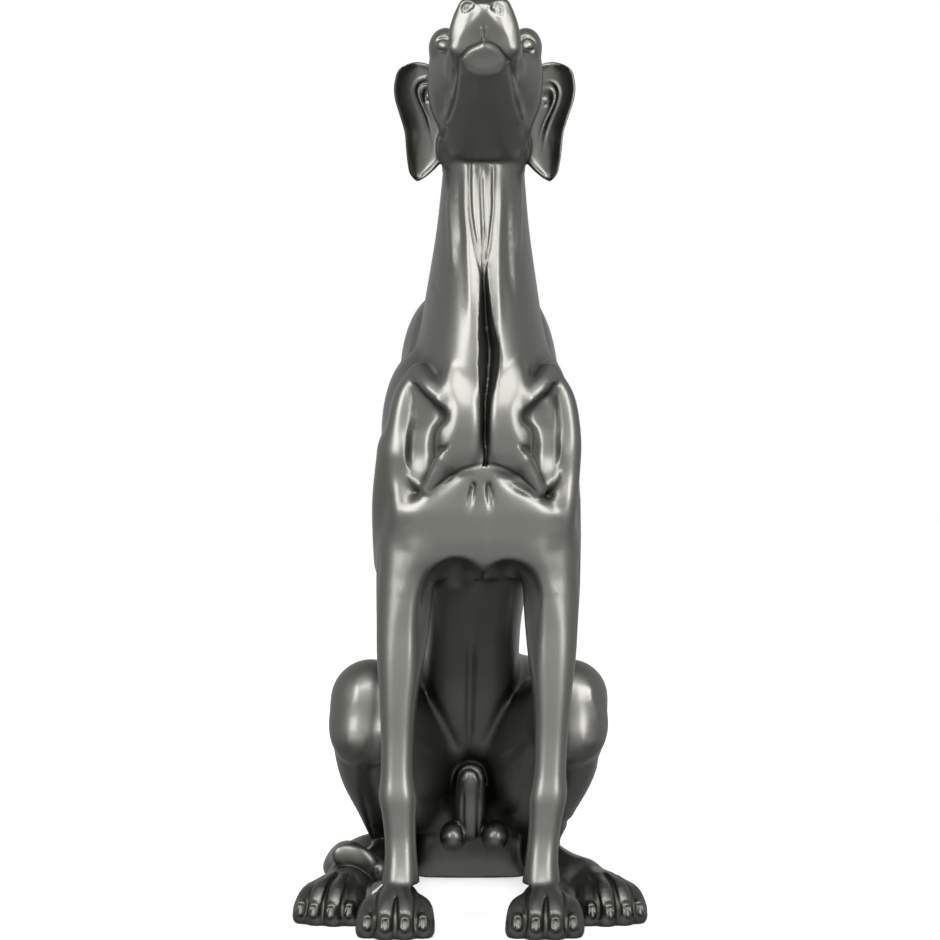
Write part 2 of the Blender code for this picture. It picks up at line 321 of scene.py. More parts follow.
@dataclass
class Flipped(Form):
    """A form's mirror image, or the form itself, moved sideways.

    Attributes:
        inner: The form.
        flip: Whether it is mirrored.
        shift: How far it is moved to the dog's left.
    """

    inner: Form
    flip: bool = True
    shift: float = 0.0

    def bounds(self) -> tuple[Array, Array]:
        """The form's lowest and highest corners.

        Returns:
            The lowest corner and the highest, in mm.
        """
        low, high = self.inner.bounds()
        low, high = low.copy(), high.copy()
        if self.flip:
            low[0], high[0] = -high[0], -low[0]
        low[0] += self.shift
        high[0] += self.shift
        return low, high

    def distance(self, points: Array) -> Array:
        """The signed distance at each point, below zero inside."""
        moved = points - (self.shift, 0, 0)
        return self.inner.distance(moved * (-1, 1, 1) if self.flip else moved)


@dataclass
class Trimmed(Form):
    """A form with one side planed off.

    Attributes:
        inner: The form.
        point: A point on the plane.
        away: Which way the removed side lies.
        reach: How far the new edge is rounded.
    """

    inner: Form
    point: Point
    away: Point
    reach: float = 8.0

    def bounds(self) -> tuple[Array, Array]:
        """The form's lowest and highest corners."""
        return self.inner.bounds()

    def distance(self, points: Array) -> Array:
        """The signed distance at each point, below zero inside.

        Args:
            points: The points, in mm.

        Returns:
            The distances.
        """
        away = np.array(self.away, float)
        beyond = (points - np.array(self.point, float)) @ (away / np.linalg.norm(away))
        return soft_max(self.inner.distance(points), beyond, self.reach)


@dataclass
class Leaf(Form):
    """An ear: a cupped leaf with a thicker rim, its hollow side to the front.

    Attributes:
        rows: Height, edge at the head and outer edge.
        front: Place along Y of its middle at the top.
        trail: How far it trails back for each mm it hangs down.
        cup: How far the outer rim stands forward of the middle.
        thickness: Its thickness away from the rim.
        rim: How much thicker the rim is.
    """

    rows: Rows
    front: float = -80.0
    trail: float = 0.16
    cup: float = 7.0
    thickness: float = 6.0
    rim: float = 2.0

    def __post_init__(self) -> None:
        """Draws the smooth outline and its slopes."""
        self.outline = smooth_rows(self.rows, 60)
        self.slopes = np.gradient(self.outline, self.outline[:, 0], axis=0)

    def sheet(self, share: Array, z: Array) -> Array:
        """Place along Y of the leaf's middle surface.

        Args:
            share: How far across the leaf each point is, from 0 to 1.
            z: Its height, in mm.

        Returns:
            The places.
        """
        rim = (2 * np.clip(share, -0.3, 1.2) - 1) ** 2
        drop = self.outline[-1, 0] - z
        return self.front + self.trail * drop - self.cup * rim * share + self.cup * (1 - rim) * 0.6

    def bounds(self) -> tuple[Array, Array]:
        """The form's lowest and highest corners.

        Returns:
            The lowest corner and the highest, in mm.
        """
        z, inner, outer = self.outline.T
        depth = self.trail * (z.max() - z.min())
        low = np.array((inner.min(), self.front - 2 * self.cup, z.min()))
        return low, np.array((outer.max(), self.front + self.cup + depth, z.max()))

    def distance(self, points: Array) -> Array:
        """The signed distance at each point, below zero inside.

        Args:
            points: The points, in mm.

        Returns:
            The distances.
        """
        x, y, z = points.T
        at = self.outline[:, 0]
        inner, outer = np.interp(z, at, self.outline[:, 1]), np.interp(z, at, self.outline[:, 2])
        lean_in, lean_out = np.interp(z, at, self.slopes[:, 1]), np.interp(z, at, self.slopes[:, 2])
        edge = np.maximum((inner - x) / np.hypot(1, lean_in), (x - outer) / np.hypot(1, lean_out))
        edge = soft_max(edge, np.maximum(at[0] - z, z - at[-1]), 8.0)
        share = (x - inner) / np.maximum(outer - inner, 1)
        half = self.thickness / 2 + self.rim / 2 * np.exp(-((edge + 2.2) ** 2) / 5)
        face = np.abs(y - self.sheet(share, z)) * 0.93 - half  # the sheet is slanted, hence the share
        return soft_max(face, edge, 5.0)


@dataclass
class Stroke(Form):
    """A line pressed into, or raised from, the skin.

    Attributes:
        path: Points on the skin.
        width: Half width of the line.
        fade: Share of its length over which each end fades out.
    """

    path: Array
    width: float
    fade: float = 0.25

    def bounds(self) -> tuple[Array, Array]:
        """The corners of the box that, once widened by BAND, holds all that the line presses."""
        reach = 2.2 * self.width - BAND
        return self.path.min(0) - reach, self.path.max(0) + reach

    def distance(self, points: Array) -> Array:
        """How strongly the line presses at each point, from 0 to 1.

        Args:
            points: The points, in mm.

        Returns:
            The strengths.
        """
        best = np.full(len(points), 1e9)
        place = np.zeros(len(points))
        runs = np.diff(self.path, axis=0)
        lengths = np.sqrt((runs**2).sum(1))
        marks = np.concatenate(((0,), np.cumsum(lengths))) / max(lengths.sum(), 1e-6)
        for i, (start, run) in enumerate(zip(self.path, runs)):
            away = points - start
            t = np.clip(away @ run / max(run @ run, 1e-9), 0, 1)
            gap = ((away - t[:, None] * run) ** 2).sum(1)
            nearer = gap < best
            best = np.where(nearer, gap, best)
            place = np.where(nearer, marks[i] + t * (marks[i + 1] - marks[i]), place)
        weight = np.exp(-best / self.width**2)
        if self.fade > 0:
            ends = np.clip(np.minimum(place, 1 - place) / self.fade, 0, 1)
            weight = weight * (ends * ends * (3 - 2 * ends) * 0.85 + 0.15)
        return weight


@dataclass
class Step:
    """One step of the modelling: a form and what it does to the skin so far.

    Attributes:
        form: The form.
        reach: How far its blend reaches, or the depth of a stroke.
    """

    form: Form
    reach: float = 12.0

    def apply(self, value: Array, form: Array) -> Array:
        """The skin's distance after this step."""
        return soft_min(value, form, self.reach)


@dataclass
class Cut(Step):
    """Takes the form away."""

    def apply(self, value: Array, form: Array) -> Array:
        """The skin's distance after this step."""
        return soft_max(value, -form, self.reach)


@dataclass
class Press(Step):
    """Presses a stroke in by its depth, or raises it if the depth is below zero."""

    def apply(self, value: Array, form: Array) -> Array:
        """The skin's distance after this step."""
        return value + self.reach * form


def both(steps: Iterable[Step], shift: float = 0.0) -> Steps:
    """Steps for both sides from the left side's.

    Args:
        steps: The left side's steps.
        shift: How far both sides are moved to the dog's left.

    Returns:
        All the steps, side by side.
    """
    pairs = []
    for step in steps:
        for flip in (False, True):
            pairs.append(type(step)(Flipped(step.form, flip, shift), step.reach))
    return pairs


class View(Enum):
    """Where a mark is drawn from, which settles what its two numbers mean."""

    FRONT = "sight"  # across and down, as the camera sees it
    LEFT = "left"  # along Y and up, from the dog's left
    BACK = "back"  # across and up, from behind


@dataclass
class Mark:
    """A line drawn on the skin as seen from one side.

    Attributes:
        points: Its points, in the view's two numbers.
        width: Half width.
        depth: How deep it is pressed, below zero for a ridge.
        view: Where it is drawn from.
        mirror: Whether the other side has it too.
        fade: Share of its length over which each end fades out.
    """

    points: Rows
    width: float
    depth: float
    view: View = View.FRONT
    mirror: bool = False
    fade: float = 0.25


@dataclass
class Sight:
    """The camera's place and scale, in mm and in units of the picture.

    Attributes:
        eye: Where it stands, in the frame.
        scale: Picture units for one unit across at one unit's distance.
        middle: Picture place of what lies level straight ahead.
        size: Picture units from edge to edge.
    """

    eye: Point = (0.0, -2600.0, 500.0)
    scale: float = 2803.0
    middle: Point = (469.5, 361.0)
    size: float = 940.0

    def rays(self, marks: Array) -> tuple[Array, Array]:
        """Where each line of sight starts and its direction, one mm along Y.

        Args:
            marks: Places in the view.

        Returns:
            The starts and the directions.
        """
        across = (marks[:, 0] - self.middle[0]) / self.scale
        down = (marks[:, 1] - self.middle[1]) / self.scale
        ahead = np.column_stack((across, np.ones(len(marks)), -down))
        return np.tile(np.array(self.eye, float), (len(marks), 1)), ahead


def to_figure(points: Array) -> Array:
    """Points of the frame in the figure's own upright place.

    Args:
        points: The points, in mm.

    Returns:
        The same points, moved.
    """
    moved = points + CENTRE
    levels, shifts = np.array(LEAN, float).T
    moved[:, 0] -= np.interp(moved[:, 2], levels, shifts)
    return moved


def to_frame(points: Array) -> Array:
    """Points of the upright figure in the frame.

    Args:
        points: The points, in mm.

    Returns:
        The same points, moved.
    """
    moved = points - CENTRE
    levels, shifts = np.array(LEAN, float).T
    moved[:, 0] += np.interp(points[:, 2], levels, shifts)
    return moved


@dataclass
class Skin:
    """The figure's surface as the steps leave it.

    Attributes:
        steps: The steps, in order.
        sight: The camera's place.
        skipped: How far in front of the camera the sight lines start, in mm.
        beside: How far to the dog's left those from that side start.
        behind: How far behind it those from behind start.
    """

    steps: Steps = field(default_factory=list)
    sight: Sight = field(default_factory=Sight)
    skipped: float = 2340.0
    beside: float = 190.0
    behind: float = 260.0

    def value(self, points: Array) -> Array:
        """The signed distance at points of the upright figure.

        Args:
            points: The points, in mm.

        Returns:
            The distances.
        """
        result = np.full(len(points), FAR)
        layer = np.floor(points[:, 2] / LAYER).astype(int)
        order = np.argsort(layer, kind="stable")
        starts = np.flatnonzero(np.diff(layer[order], prepend=layer[order[:1]] - 1))
        pieces = []
        for start, end in zip(starts, [*starts[1:], len(order)]):
            pieces += np.array_split(order[start:end], max(1, (end - start) // BATCH))

        limits = [step.form.bounds() for step in self.steps]

        def work(chosen: Array) -> None:
            """Fills in one batch of points."""
            here = points[chosen]
            low, high = here.min(0), here.max(0)
            value = np.full(len(here), FAR)
            for step, (least, most) in zip(self.steps, limits):
                room = BAND + max(step.reach, 0) * (not isinstance(step, Press))
                if (least - room > high).any() or (most + room < low).any():
                    continue
                near = np.flatnonzero(((here > least - room) & (here < most + room)).all(1))
                if near.size:
                    value[near] = step.apply(value[near], step.form.distance(here[near]))
            result[chosen] = value

        with ThreadPoolExecutor(4) as pool:
            list(pool.map(work, pieces))
        return soft_max(result, -points[:, 2], 2.0)

    def worked(self, points: Array, width: float) -> Array:
        """Which points lie on strokes with at most the given half width.

        Args:
            points: The points, in mm.
            width: The widest half width, in mm.

        Returns:
            True for each point on such a stroke.
        """
        found = np.zeros(len(points), bool)
        for step in self.steps:
            form = step.form.inner if isinstance(step.form, Flipped) else step.form
            if not isinstance(form, Stroke) or form.width > width:
                continue
            least, most = step.form.bounds()
            near = np.flatnonzero(((points > least - BAND) & (points < most + BAND)).all(1) & ~found)
            if near.size:
                weight = step.form.distance(points[near])
                found[near] = weight * abs(step.reach) > 0.08  # mm pressed
        return found

    def slope(self, points: Array, step: float = 0.5) -> tuple[Array, Array]:
        """The distance and its gradient at points.

        Args:
            points: Points of the upright figure.
            step: How far apart the distance is read, in mm.

        Returns:
            The distances and the gradients.
        """
        corners = np.array(((1, -1, -1), (-1, -1, 1), (-1, 1, -1), (1, 1, 1)), float)
        reads = [self.value(points + corner * step) for corner in corners]
        gradient = sum(corner * read[:, None] for corner, read in zip(corners, reads)) / (4 * step)
        return sum(reads) / 4, gradient

    def settle(self, points: Array, rounds: int = 2) -> Array:
        """Points moved onto the skin.

        Args:
            points: The points, in mm.
            rounds: How many times they are moved.

        Returns:
            The moved points.
        """
        for _ in range(rounds):
            value, gradient = self.slope(points)
            steep = np.maximum((gradient**2).sum(1), 0.1)
            move = gradient * (value / steep)[:, None]
            length = np.sqrt((move**2).sum(1))
            points = points - move * np.minimum(1, 2.5 / np.maximum(length, 1e-6))[:, None]
        return points

    def drop(self, points: Array, view: View) -> Array:
        """Where lines of sight meet the skin.

        Args:
            points: Marks in the view's two numbers.
            view: Where they are seen from.

        Returns:
            Points of the upright figure.
        """
        if view is View.FRONT:
            start, ahead = self.sight.rays(points)
            start = start + ahead * self.skipped
        elif view is View.LEFT:
            start = np.column_stack((np.full(len(points), self.beside), points))
            ahead = np.tile((-1.0, 0, 0), (len(points), 1))
        else:
            start = np.column_stack((points[:, 0], np.full(len(points), self.behind), points[:, 1]))
            ahead = np.tile((0, -1.0, 0), (len(points), 1))
        stride = 3.0
        reach = np.arange(0, 520, stride)
        places = start[:, None] + ahead[:, None] * reach[None, :, None]
        flat = places.reshape(-1, 3)
        values = self.value(to_figure(flat) if view is View.FRONT else flat).reshape(len(points), -1)
        inside = values < 0
        hit = inside.argmax(1)
        hit = np.where(inside.any(1), np.maximum(hit, 1), len(reach) - 1)
        rows = np.arange(len(points))
        near, far = values[rows, hit - 1], values[rows, hit]
        near = np.minimum(near, BAND)
        share = np.clip(near / np.maximum(near - far, 1e-6), 0, 1)
        found = start + ahead * (reach[hit - 1] + stride * share)[:, None]
        return to_figure(found) if view is View.FRONT else found

    def draw(self, marks: Sequence[Mark]) -> None:
        """Presses marks into the skin as it is now.

        Args:
            marks: The marks. All are placed before the first is pressed.
        """
        paths = [smooth_path(mark.points, 5) for mark in marks]
        strokes = []
        for view in View:
            chosen = [i for i, mark in enumerate(marks) if mark.view is view]
            if not chosen:
                continue
            dropped = self.drop(np.concatenate([paths[i] for i in chosen]), view)
            pieces = np.split(dropped, np.cumsum([len(paths[i]) for i in chosen])[:-1])
            for i, piece in zip(chosen, pieces):
                mark = marks[i]
                stroke = Press(Stroke(piece, mark.width, mark.fade), mark.depth)
                strokes += both([stroke]) if mark.mirror else [stroke]
        self.steps += strokes


@dataclass
class Torso:
    """Trunk, neck, chest and shoulders, in mm.

    Attributes:
        trunk: Height, half width, front, back and middle across of each slice of trunk and neck.
        belly: The same for the flat of the belly.
        apron: The same for the chest's front between the shoulders and the forelegs.
        breast: The same for the left breast.
        hollow: The same for the hollow outside it.
        channel: The same for the channel between the breasts.
        rim: Points and radii along the hollow's outer rim.
        lip: The same along the ridge over the hollow.
        fold: The same along the fold at the breast's foot.
        notch: The same along the notch in the breast's side.
        edge: The same along the front edge over the left foreleg.
        shoulder_shift: How far the shoulders stand to the dog's left.
        breast_shift: How far both breasts stand to the dog's left.
    """

    trunk: Rows = (
        (-6, 54, 104, 188, 0), (20, 63, 97, 206, 0), (60, 70, 86, 217, -1), (100, 70, 68, 216, -2),
        (140, 63, 44, 207, -4), (180, 54, 17, 193, -5), (220, 46, -14, 174, -6), (260, 44, -52, 155, -6),
        (300, 52, -94, 136, -4), (340, 66, -132, 117, -1), (380, 74, -147, 99, 1), (420, 75, -150, 82, 2),
        (460, 71, -150, 65, 2), (500, 64, -149, 47, 1), (540, 54.5, -143, 28, 0), (580, 47.5, -133, 10, 0),
        (620, 41.5, -121, -8, 0), (660, 37.5, -109, -20, 0), (700, 33.5, -96, -32, 0), (725, 25, -88, -44, 0),
    )
    belly: Rows = (
        (90, 30, 84, 120, -4), (130, 37, 54, 120, -4), (168, 41, 25, 120, -4), (215, 44, -9, 120, -3.5),
        (258, 45, -49, 110, -3.5), (300, 50, -89, 100, -3), (335, 56, -118, 60, -1),
    )
    apron: Rows = (
        (304, 66, -124, -92, 1), (318, 75, -139, -86, 1), (335, 79, -145, -40, 1), (355, 81, -147.5, -40, 1),
        (370, 80, -148.5, -40, 0), (379, 66, -148.5, -50, -1), (387, 48, -148.5, -50, -2),
        (395, 32, -148.5, -50, -1), (403, 19, -148.5, -50, 1), (409.5, 13, -147.5, -50, 3),
    )
    breast: Rows = (
        (396, 10, -140, -90, 21), (403, 17, -149, -90, 21), (414, 21.5, -155, -90, 21),
        (430, 23.5, -158, -90, 21), (446, 24, -159, -90, 21), (458, 23.5, -158, -90, 21),
        (471, 22.5, -154, -90, 21), (484, 21, -149, -90, 20), (497, 18, -143, -90, 19),
        (510, 12, -134, -90, 18),
    )
    hollow: Rows = (
        (384, 6, -190, -143, 53), (392, 10, -190, -140, 55), (403, 13, -190, -133, 56.5),
        (415, 14, -190, -128, 56.5), (430, 14, -190, -126, 56.5), (440, 15.5, -190, -125, 55),
        (449, 19, -190, -125, 51.5), (457, 18, -190, -125, 52), (465, 13, -190, -126, 56),
        (473, 8, -190, -127, 60), (479, 4, -190, -129, 62),
    )
    channel: Rows = (
        (409, 3.5, -175, -145, 4.5), (417, 4.6, -180, -147, 4.6), (430, 4.8, -180, -146, 4.0),
        (450, 4.8, -180, -145, 3.6), (465, 5.4, -176, -141, 3.7), (480, 7.5, -172, -135, 5.2),
        (497, 9.2, -170, -131, 6.6), (512, 9.2, -169, -130, 6.6), (530, 7.5, -166, -131, 4.0),
        (554, 5.4, -160, -130, 2.2), (575, 5.0, -154, -129, 1.0), (590, 6, -150, -127.5, 0),
        (602, 5.5, -146, -125.5, -1), (616, 3, -142, -122.5, -1),
    )
    rim: Rows = (
        (46, -121, 480, 8), (58, -115, 484, 9), (69, -117, 466, 11), (74, -119, 432, 12), (73, -120, 398, 12),
        (71, -125, 374, 12), (70, -122, 350, 10), (70, -108, 318, 6),
    )
    lip: Rows = ((58, -119, 490, 8), (49, -133, 477, 9.5), (39, -141, 465, 9.5))
    fold: Rows = ((48, -139, 387, 6.5), (42, -142, 399, 7.5), (35, -146, 413, 8))
    notch: Rows = ((51, -138, 418, 5.5), (44, -147, 420, 4.5), (36, -155, 424, 2.6), (28, -160, 427, 1.2))
    edge: Rows = ((50, -129, 332, 12), (60, -129, 300, 10), (65, -128, 270, 9), (70, -122, 236, 6))
    shoulder_shift: float = -3.0
    breast_shift: float = 3.0

    def steps(self) -> Steps:
        """The steps that model it."""
        return [*self.masses(), *both(self.breasts(), self.breast_shift), *self.carving()]

    def masses(self) -> Steps:
        """Trunk, neck, shoulders and the chest's front.

        Returns:
            The steps, in order.
        """
        shoulders = [
            Step(Lump((38, -34, 488), (33, 50, 80), (-35, 0, 0)), 16),
            Step(Lump((54, -78, 438), (32, 52, 70)), 16),
            Step(Limb(((60, -108, 418, 29), (64, -96, 372, 29), (66, -80, 322, 25))), 14),
        ]
        return [
            Step(Slices(self.trunk, square=2.15, taper=0.06), 0),
            Step(Lump((0, -60, 722), (33, 28, 38)), 20),
            Step(Slices(self.belly, square=4.0), 6),
            *both(shoulders, self.shoulder_shift),
            Step(Slices(self.apron, square=3.6), 6.5),
        ]

    def breasts(self) -> Steps:
        """The left breast, with the hollow, rim and folds outside it.

        Returns:
            The steps, in order.
        """
        breast = Trimmed(Slices(self.breast, square=3.2), (36, -154, 440), (0.45, -0.885, 0.12), 3)
        return [
            Step(Limb(self.rim), 10),
            Step(Lump((42, -129, 399), (26, 16, 17)), 8),
            Step(breast, 5),
            Step(Limb(self.lip), 12),
            Cut(Slices(self.hollow, square=3.0), 5),
            Step(Limb(self.fold), 8),
            Cut(Limb(self.notch), 2),
        ]

    def carving(self) -> Steps:
        """The channel between the breasts, the keel's grooves and the arch over the forelegs.

        Returns:
            The steps, in order.
        """
        groove = Cut(Lump((9, -152, 377), (3.6, 5, 17), (-11, -9, 0)), 4)
        vaults = [Cut(Lump((x, -140, y), (31, 55, 41)), 6) for x, y in ((-20, 286), (26, 284))]
        return [
            Cut(Slices(self.channel, square=1.5), 3),
            *both([groove], 0.5),
            *both([Step(Limb(self.edge), 14)]),
            *vaults,
        ]

    def marks(self) -> list[Mark]:
        """The folds and grooves of throat, chest and sides.

        Returns:
            The marks.
        """
        throat = [
            Mark(((475, 158), (475, 190), (477, 225), (480, 250)), 4.0, -1.2),
            Mark(((487, 160), (487, 190), (487, 222), (485, 245)), 3.8, -1.2),
            Mark(((464, 165), (464, 200), (467, 240), (470, 285), (471, 335)), 4.6, -1.8),
            Mark(((499, 166), (499, 205), (497, 245), (497, 285), (500, 335)), 4.4, -1.8),
            Mark(((469, 158), (469, 190), (470, 213), (473, 234), (477, 254), (481, 276)), 1.4, 2.2),
            Mark(((481, 162), (481, 190), (482, 215), (483, 238), (483.5, 258)), 1.4, 2.0),
            Mark(
                ((493, 162), (493, 190), (493, 207), (491, 226), (489, 245), (486, 262), (484.5, 276)),
                1.4,
                2.2,
            ),
            Mark(((458, 176), (459, 215), (462, 255)), 4.4, 1.4),
            Mark(((508, 195), (508, 240), (510, 275), (513, 300)), 4.6, 2.2),
            Mark(((448, 188), (450, 230), (453, 275)), 4.2, -2.0),
            Mark(((519, 178), (519, 212), (517, 260)), 4.2, -1.8),
            Mark(((431, 283), (440, 297), (446, 315)), 4.0, 1.2),
        ]
        ledge = [
            Mark(((484, 464), (472, 467), (460, 471), (450, 477), (440, 484), (430, 491)), 1.8, 2.4),
            Mark(((484, 464), (494, 466), (505, 470), (517, 477), (528, 486), (537, 494)), 1.8, 2.4),
        ]
        keel = [Mark(((482, 499), (481, 520), (482, 548), (483, 572)), 7.0, -1.6)]
        belly = [
            Mark(((471, 640), (470, 680), (469, 722), (469, 750)), 3.4, -2.4),
            Mark(((424, 682), (436, 712), (450, 740), (458, 756)), 5.0, 2.6),
            Mark(((523, 682), (505, 704), (494, 730), (484, 752)), 5.0, 2.6),
        ]
        return throat + ledge + keel + belly + self.side_marks()

    def side_marks(self) -> list[Mark]:
        """The folds and grooves seen from the sides and from behind.

        Returns:
            The marks.
        """
        blade = [
            Mark(((6, 548), (-14, 515), (-38, 482), (-58, 452)), 6.0, 3.0, View.LEFT, True),
            Mark(((-40, 560), (-66, 520), (-92, 482)), 5.0, 2.0, View.LEFT, True),
            Mark(((-38, 440), (-44, 404), (-56, 360)), 6.0, 3.2, View.LEFT, True),
        ]
        paths = [
            ((16 + 17 * i, 470 - 24 * i), (2 + 14 * i, 420 - 22 * i), (-8 + 12 * i, 372 - 20 * i))
            for i in range(5)
        ]
        ribs = [Mark(path, 5.0, 1.3, View.LEFT, True) for path in paths]
        flank = [
            Mark(((120, 250), (92, 262), (62, 270), (36, 262)), 9.0, 1.6, View.LEFT, True),
            Mark(((-20, 600), (-42, 560), (-70, 520)), 7.0, 1.8, View.LEFT, True),
        ]
        spine = [Mark(((0, 600), (0, 480), (-2, 360), (-3, 240), (-3, 150)), 6.0, 1.8, View.BACK)]
        return blade + ribs + flank + spine


@dataclass
class Foreleg:
    """The forelegs down to the pastern, in mm.

    Attributes:
        slices: Height, half width, front, back and middle across.
    """

    slices: Rows = (
        (372, 25, -132, -60, 60), (345, 27, -133, -63, 63), (310, 26, -136, -70, 65),
        (275, 24.5, -140, -82, 66), (240, 21.5, -144, -96, 67), (200, 16.8, -147, -109, 68),
        (160, 14.7, -149.5, -116.5, 67.5), (135, 15.0, -153, -119, 67), (117, 17, -156.5, -119.5, 66),
        (98, 14.8, -156.5, -123.5, 64.5), (78, 13.8, -157.5, -126.5, 63), (60, 14.5, -162, -128, 62),
        (42, 17, -170, -130, 62),
    )

    def steps(self) -> Steps:
        """The steps that model it."""
        shaft = Trimmed(Slices(self.slices, square=2.3), (56.5, -141, 254), (-0.81, -0.575, 0.095), 4)
        return both([Step(shaft, 12)])

    def marks(self) -> list[Mark]:
        """The tendons and joints of the forelegs.

        Returns:
            The marks.
        """
        return [
            Mark(((66, 250), (67, 200), (67, 165)), 3.0, 1.2, View.BACK, True),
            Mark(((-126, 170), (-130, 150), (-136, 128)), 4.0, 1.4, View.LEFT, True),
            Mark(((-118, 330), (-112, 290), (-118, 240)), 5.0, 2.0, View.LEFT, True),
        ]


@dataclass
class Haunch:
    """Thighs, folded hind legs and what lies between them, in mm.

    Attributes:
        shift: How far the haunches stand to the dog's left.
    """

    shift: float = -5.0

    def steps(self) -> Steps:
        """The steps that model it.

        Returns:
            The steps, in order.
        """
        thigh = Limb(((50, 146, 112, 61), (65, 92, 132, 58), (80, 38, 156, 48), (92, -14, 186, 35)), 16)
        left = [
            Step(thigh, 18),
            Step(Lump((54, 118, 128), (49, 80, 86), (18, 0, 8)), 22),
            Step(Limb(((92, -13, 190, 33), (94, -22, 158, 33))), 12),
            Step(Limb(((97, -16, 165, 31), (93, 30, 118, 28), (84, 72, 76, 21), (74, 104, 42, 18))), 10),
            Step(Lump((72, 112, 30), (17, 22, 28)), 10),
            Step(Limb(((74, 104, 22, 19), (83, 50, 23, 18), (94, -10, 25, 19), (106, -55, 26, 21))), 8),
        ]
        seat = Slices(
            ((-9, 59, 97, 206), (20, 57, 96, 208), (44, 50, 100, 205), (58, 40, 112, 190)), square=5.0
        )
        middle = [
            Step(seat, 12),
            Step(Limb(((-1.5, 46, 106, 13), (-1.5, 58, 86, 15), (-1.5, 68, 56, 15))), 7),
        ]
        return both(left, self.shift) + middle + both([Step(Lump((20, 62, 47), (13, 19, 15)), 5)], 3.0)

    def marks(self) -> list[Mark]:
        """The folds of thighs, hocks and sheath.

        Returns:
            The marks.
        """
        hood = [
            Mark(
                ((452, 792), (453, 777), (460, 767), (470, 764), (480, 768), (485, 779), (485, 792)),
                1.7,
                -1.8,
            ),
            Mark(
                ((457, 794), (458, 780), (463, 772), (470, 769.5), (477, 773), (480, 781), (480, 794)),
                2.0,
                2.4,
            ),
            Mark(((463, 792), (462, 815), (463, 848)), 1.8, 1.6),
            Mark(((478, 792), (478, 815), (477, 848)), 1.8, 1.6),
        ]
        thigh = [
            Mark(((20, 192), (52, 172), (84, 132), (104, 92)), 9.0, 3.0, View.LEFT, True),
            Mark(((150, 210), (128, 170), (112, 120), (108, 78)), 9.0, 2.2, View.LEFT, True),
            Mark(((-22, 196), (-14, 172), (6, 150), (40, 112), (72, 74)), 5.0, 2.2, View.LEFT, True),
            Mark(((-38, 208), (-44, 190), (-38, 170)), 5.0, -1.6, View.LEFT, True),
            Mark(((60, 60), (84, 58), (104, 68)), 4.0, 2.4, View.LEFT, True),
            Mark(((10, 36), (50, 34), (88, 36)), 3.0, 1.6, View.LEFT, True),
        ]
        knee = [
            Mark(((342, 742), (354, 745), (368, 741)), 6.0, -1.2),
            Mark(((338, 757), (352, 762), (370, 757)), 6.0, 1.2),
            Mark(((600, 742), (588, 745), (576, 741)), 6.0, -1.2),
            Mark(((604, 757), (590, 762), (574, 757)), 6.0, 1.2),
        ]
        return hood + thigh + knee


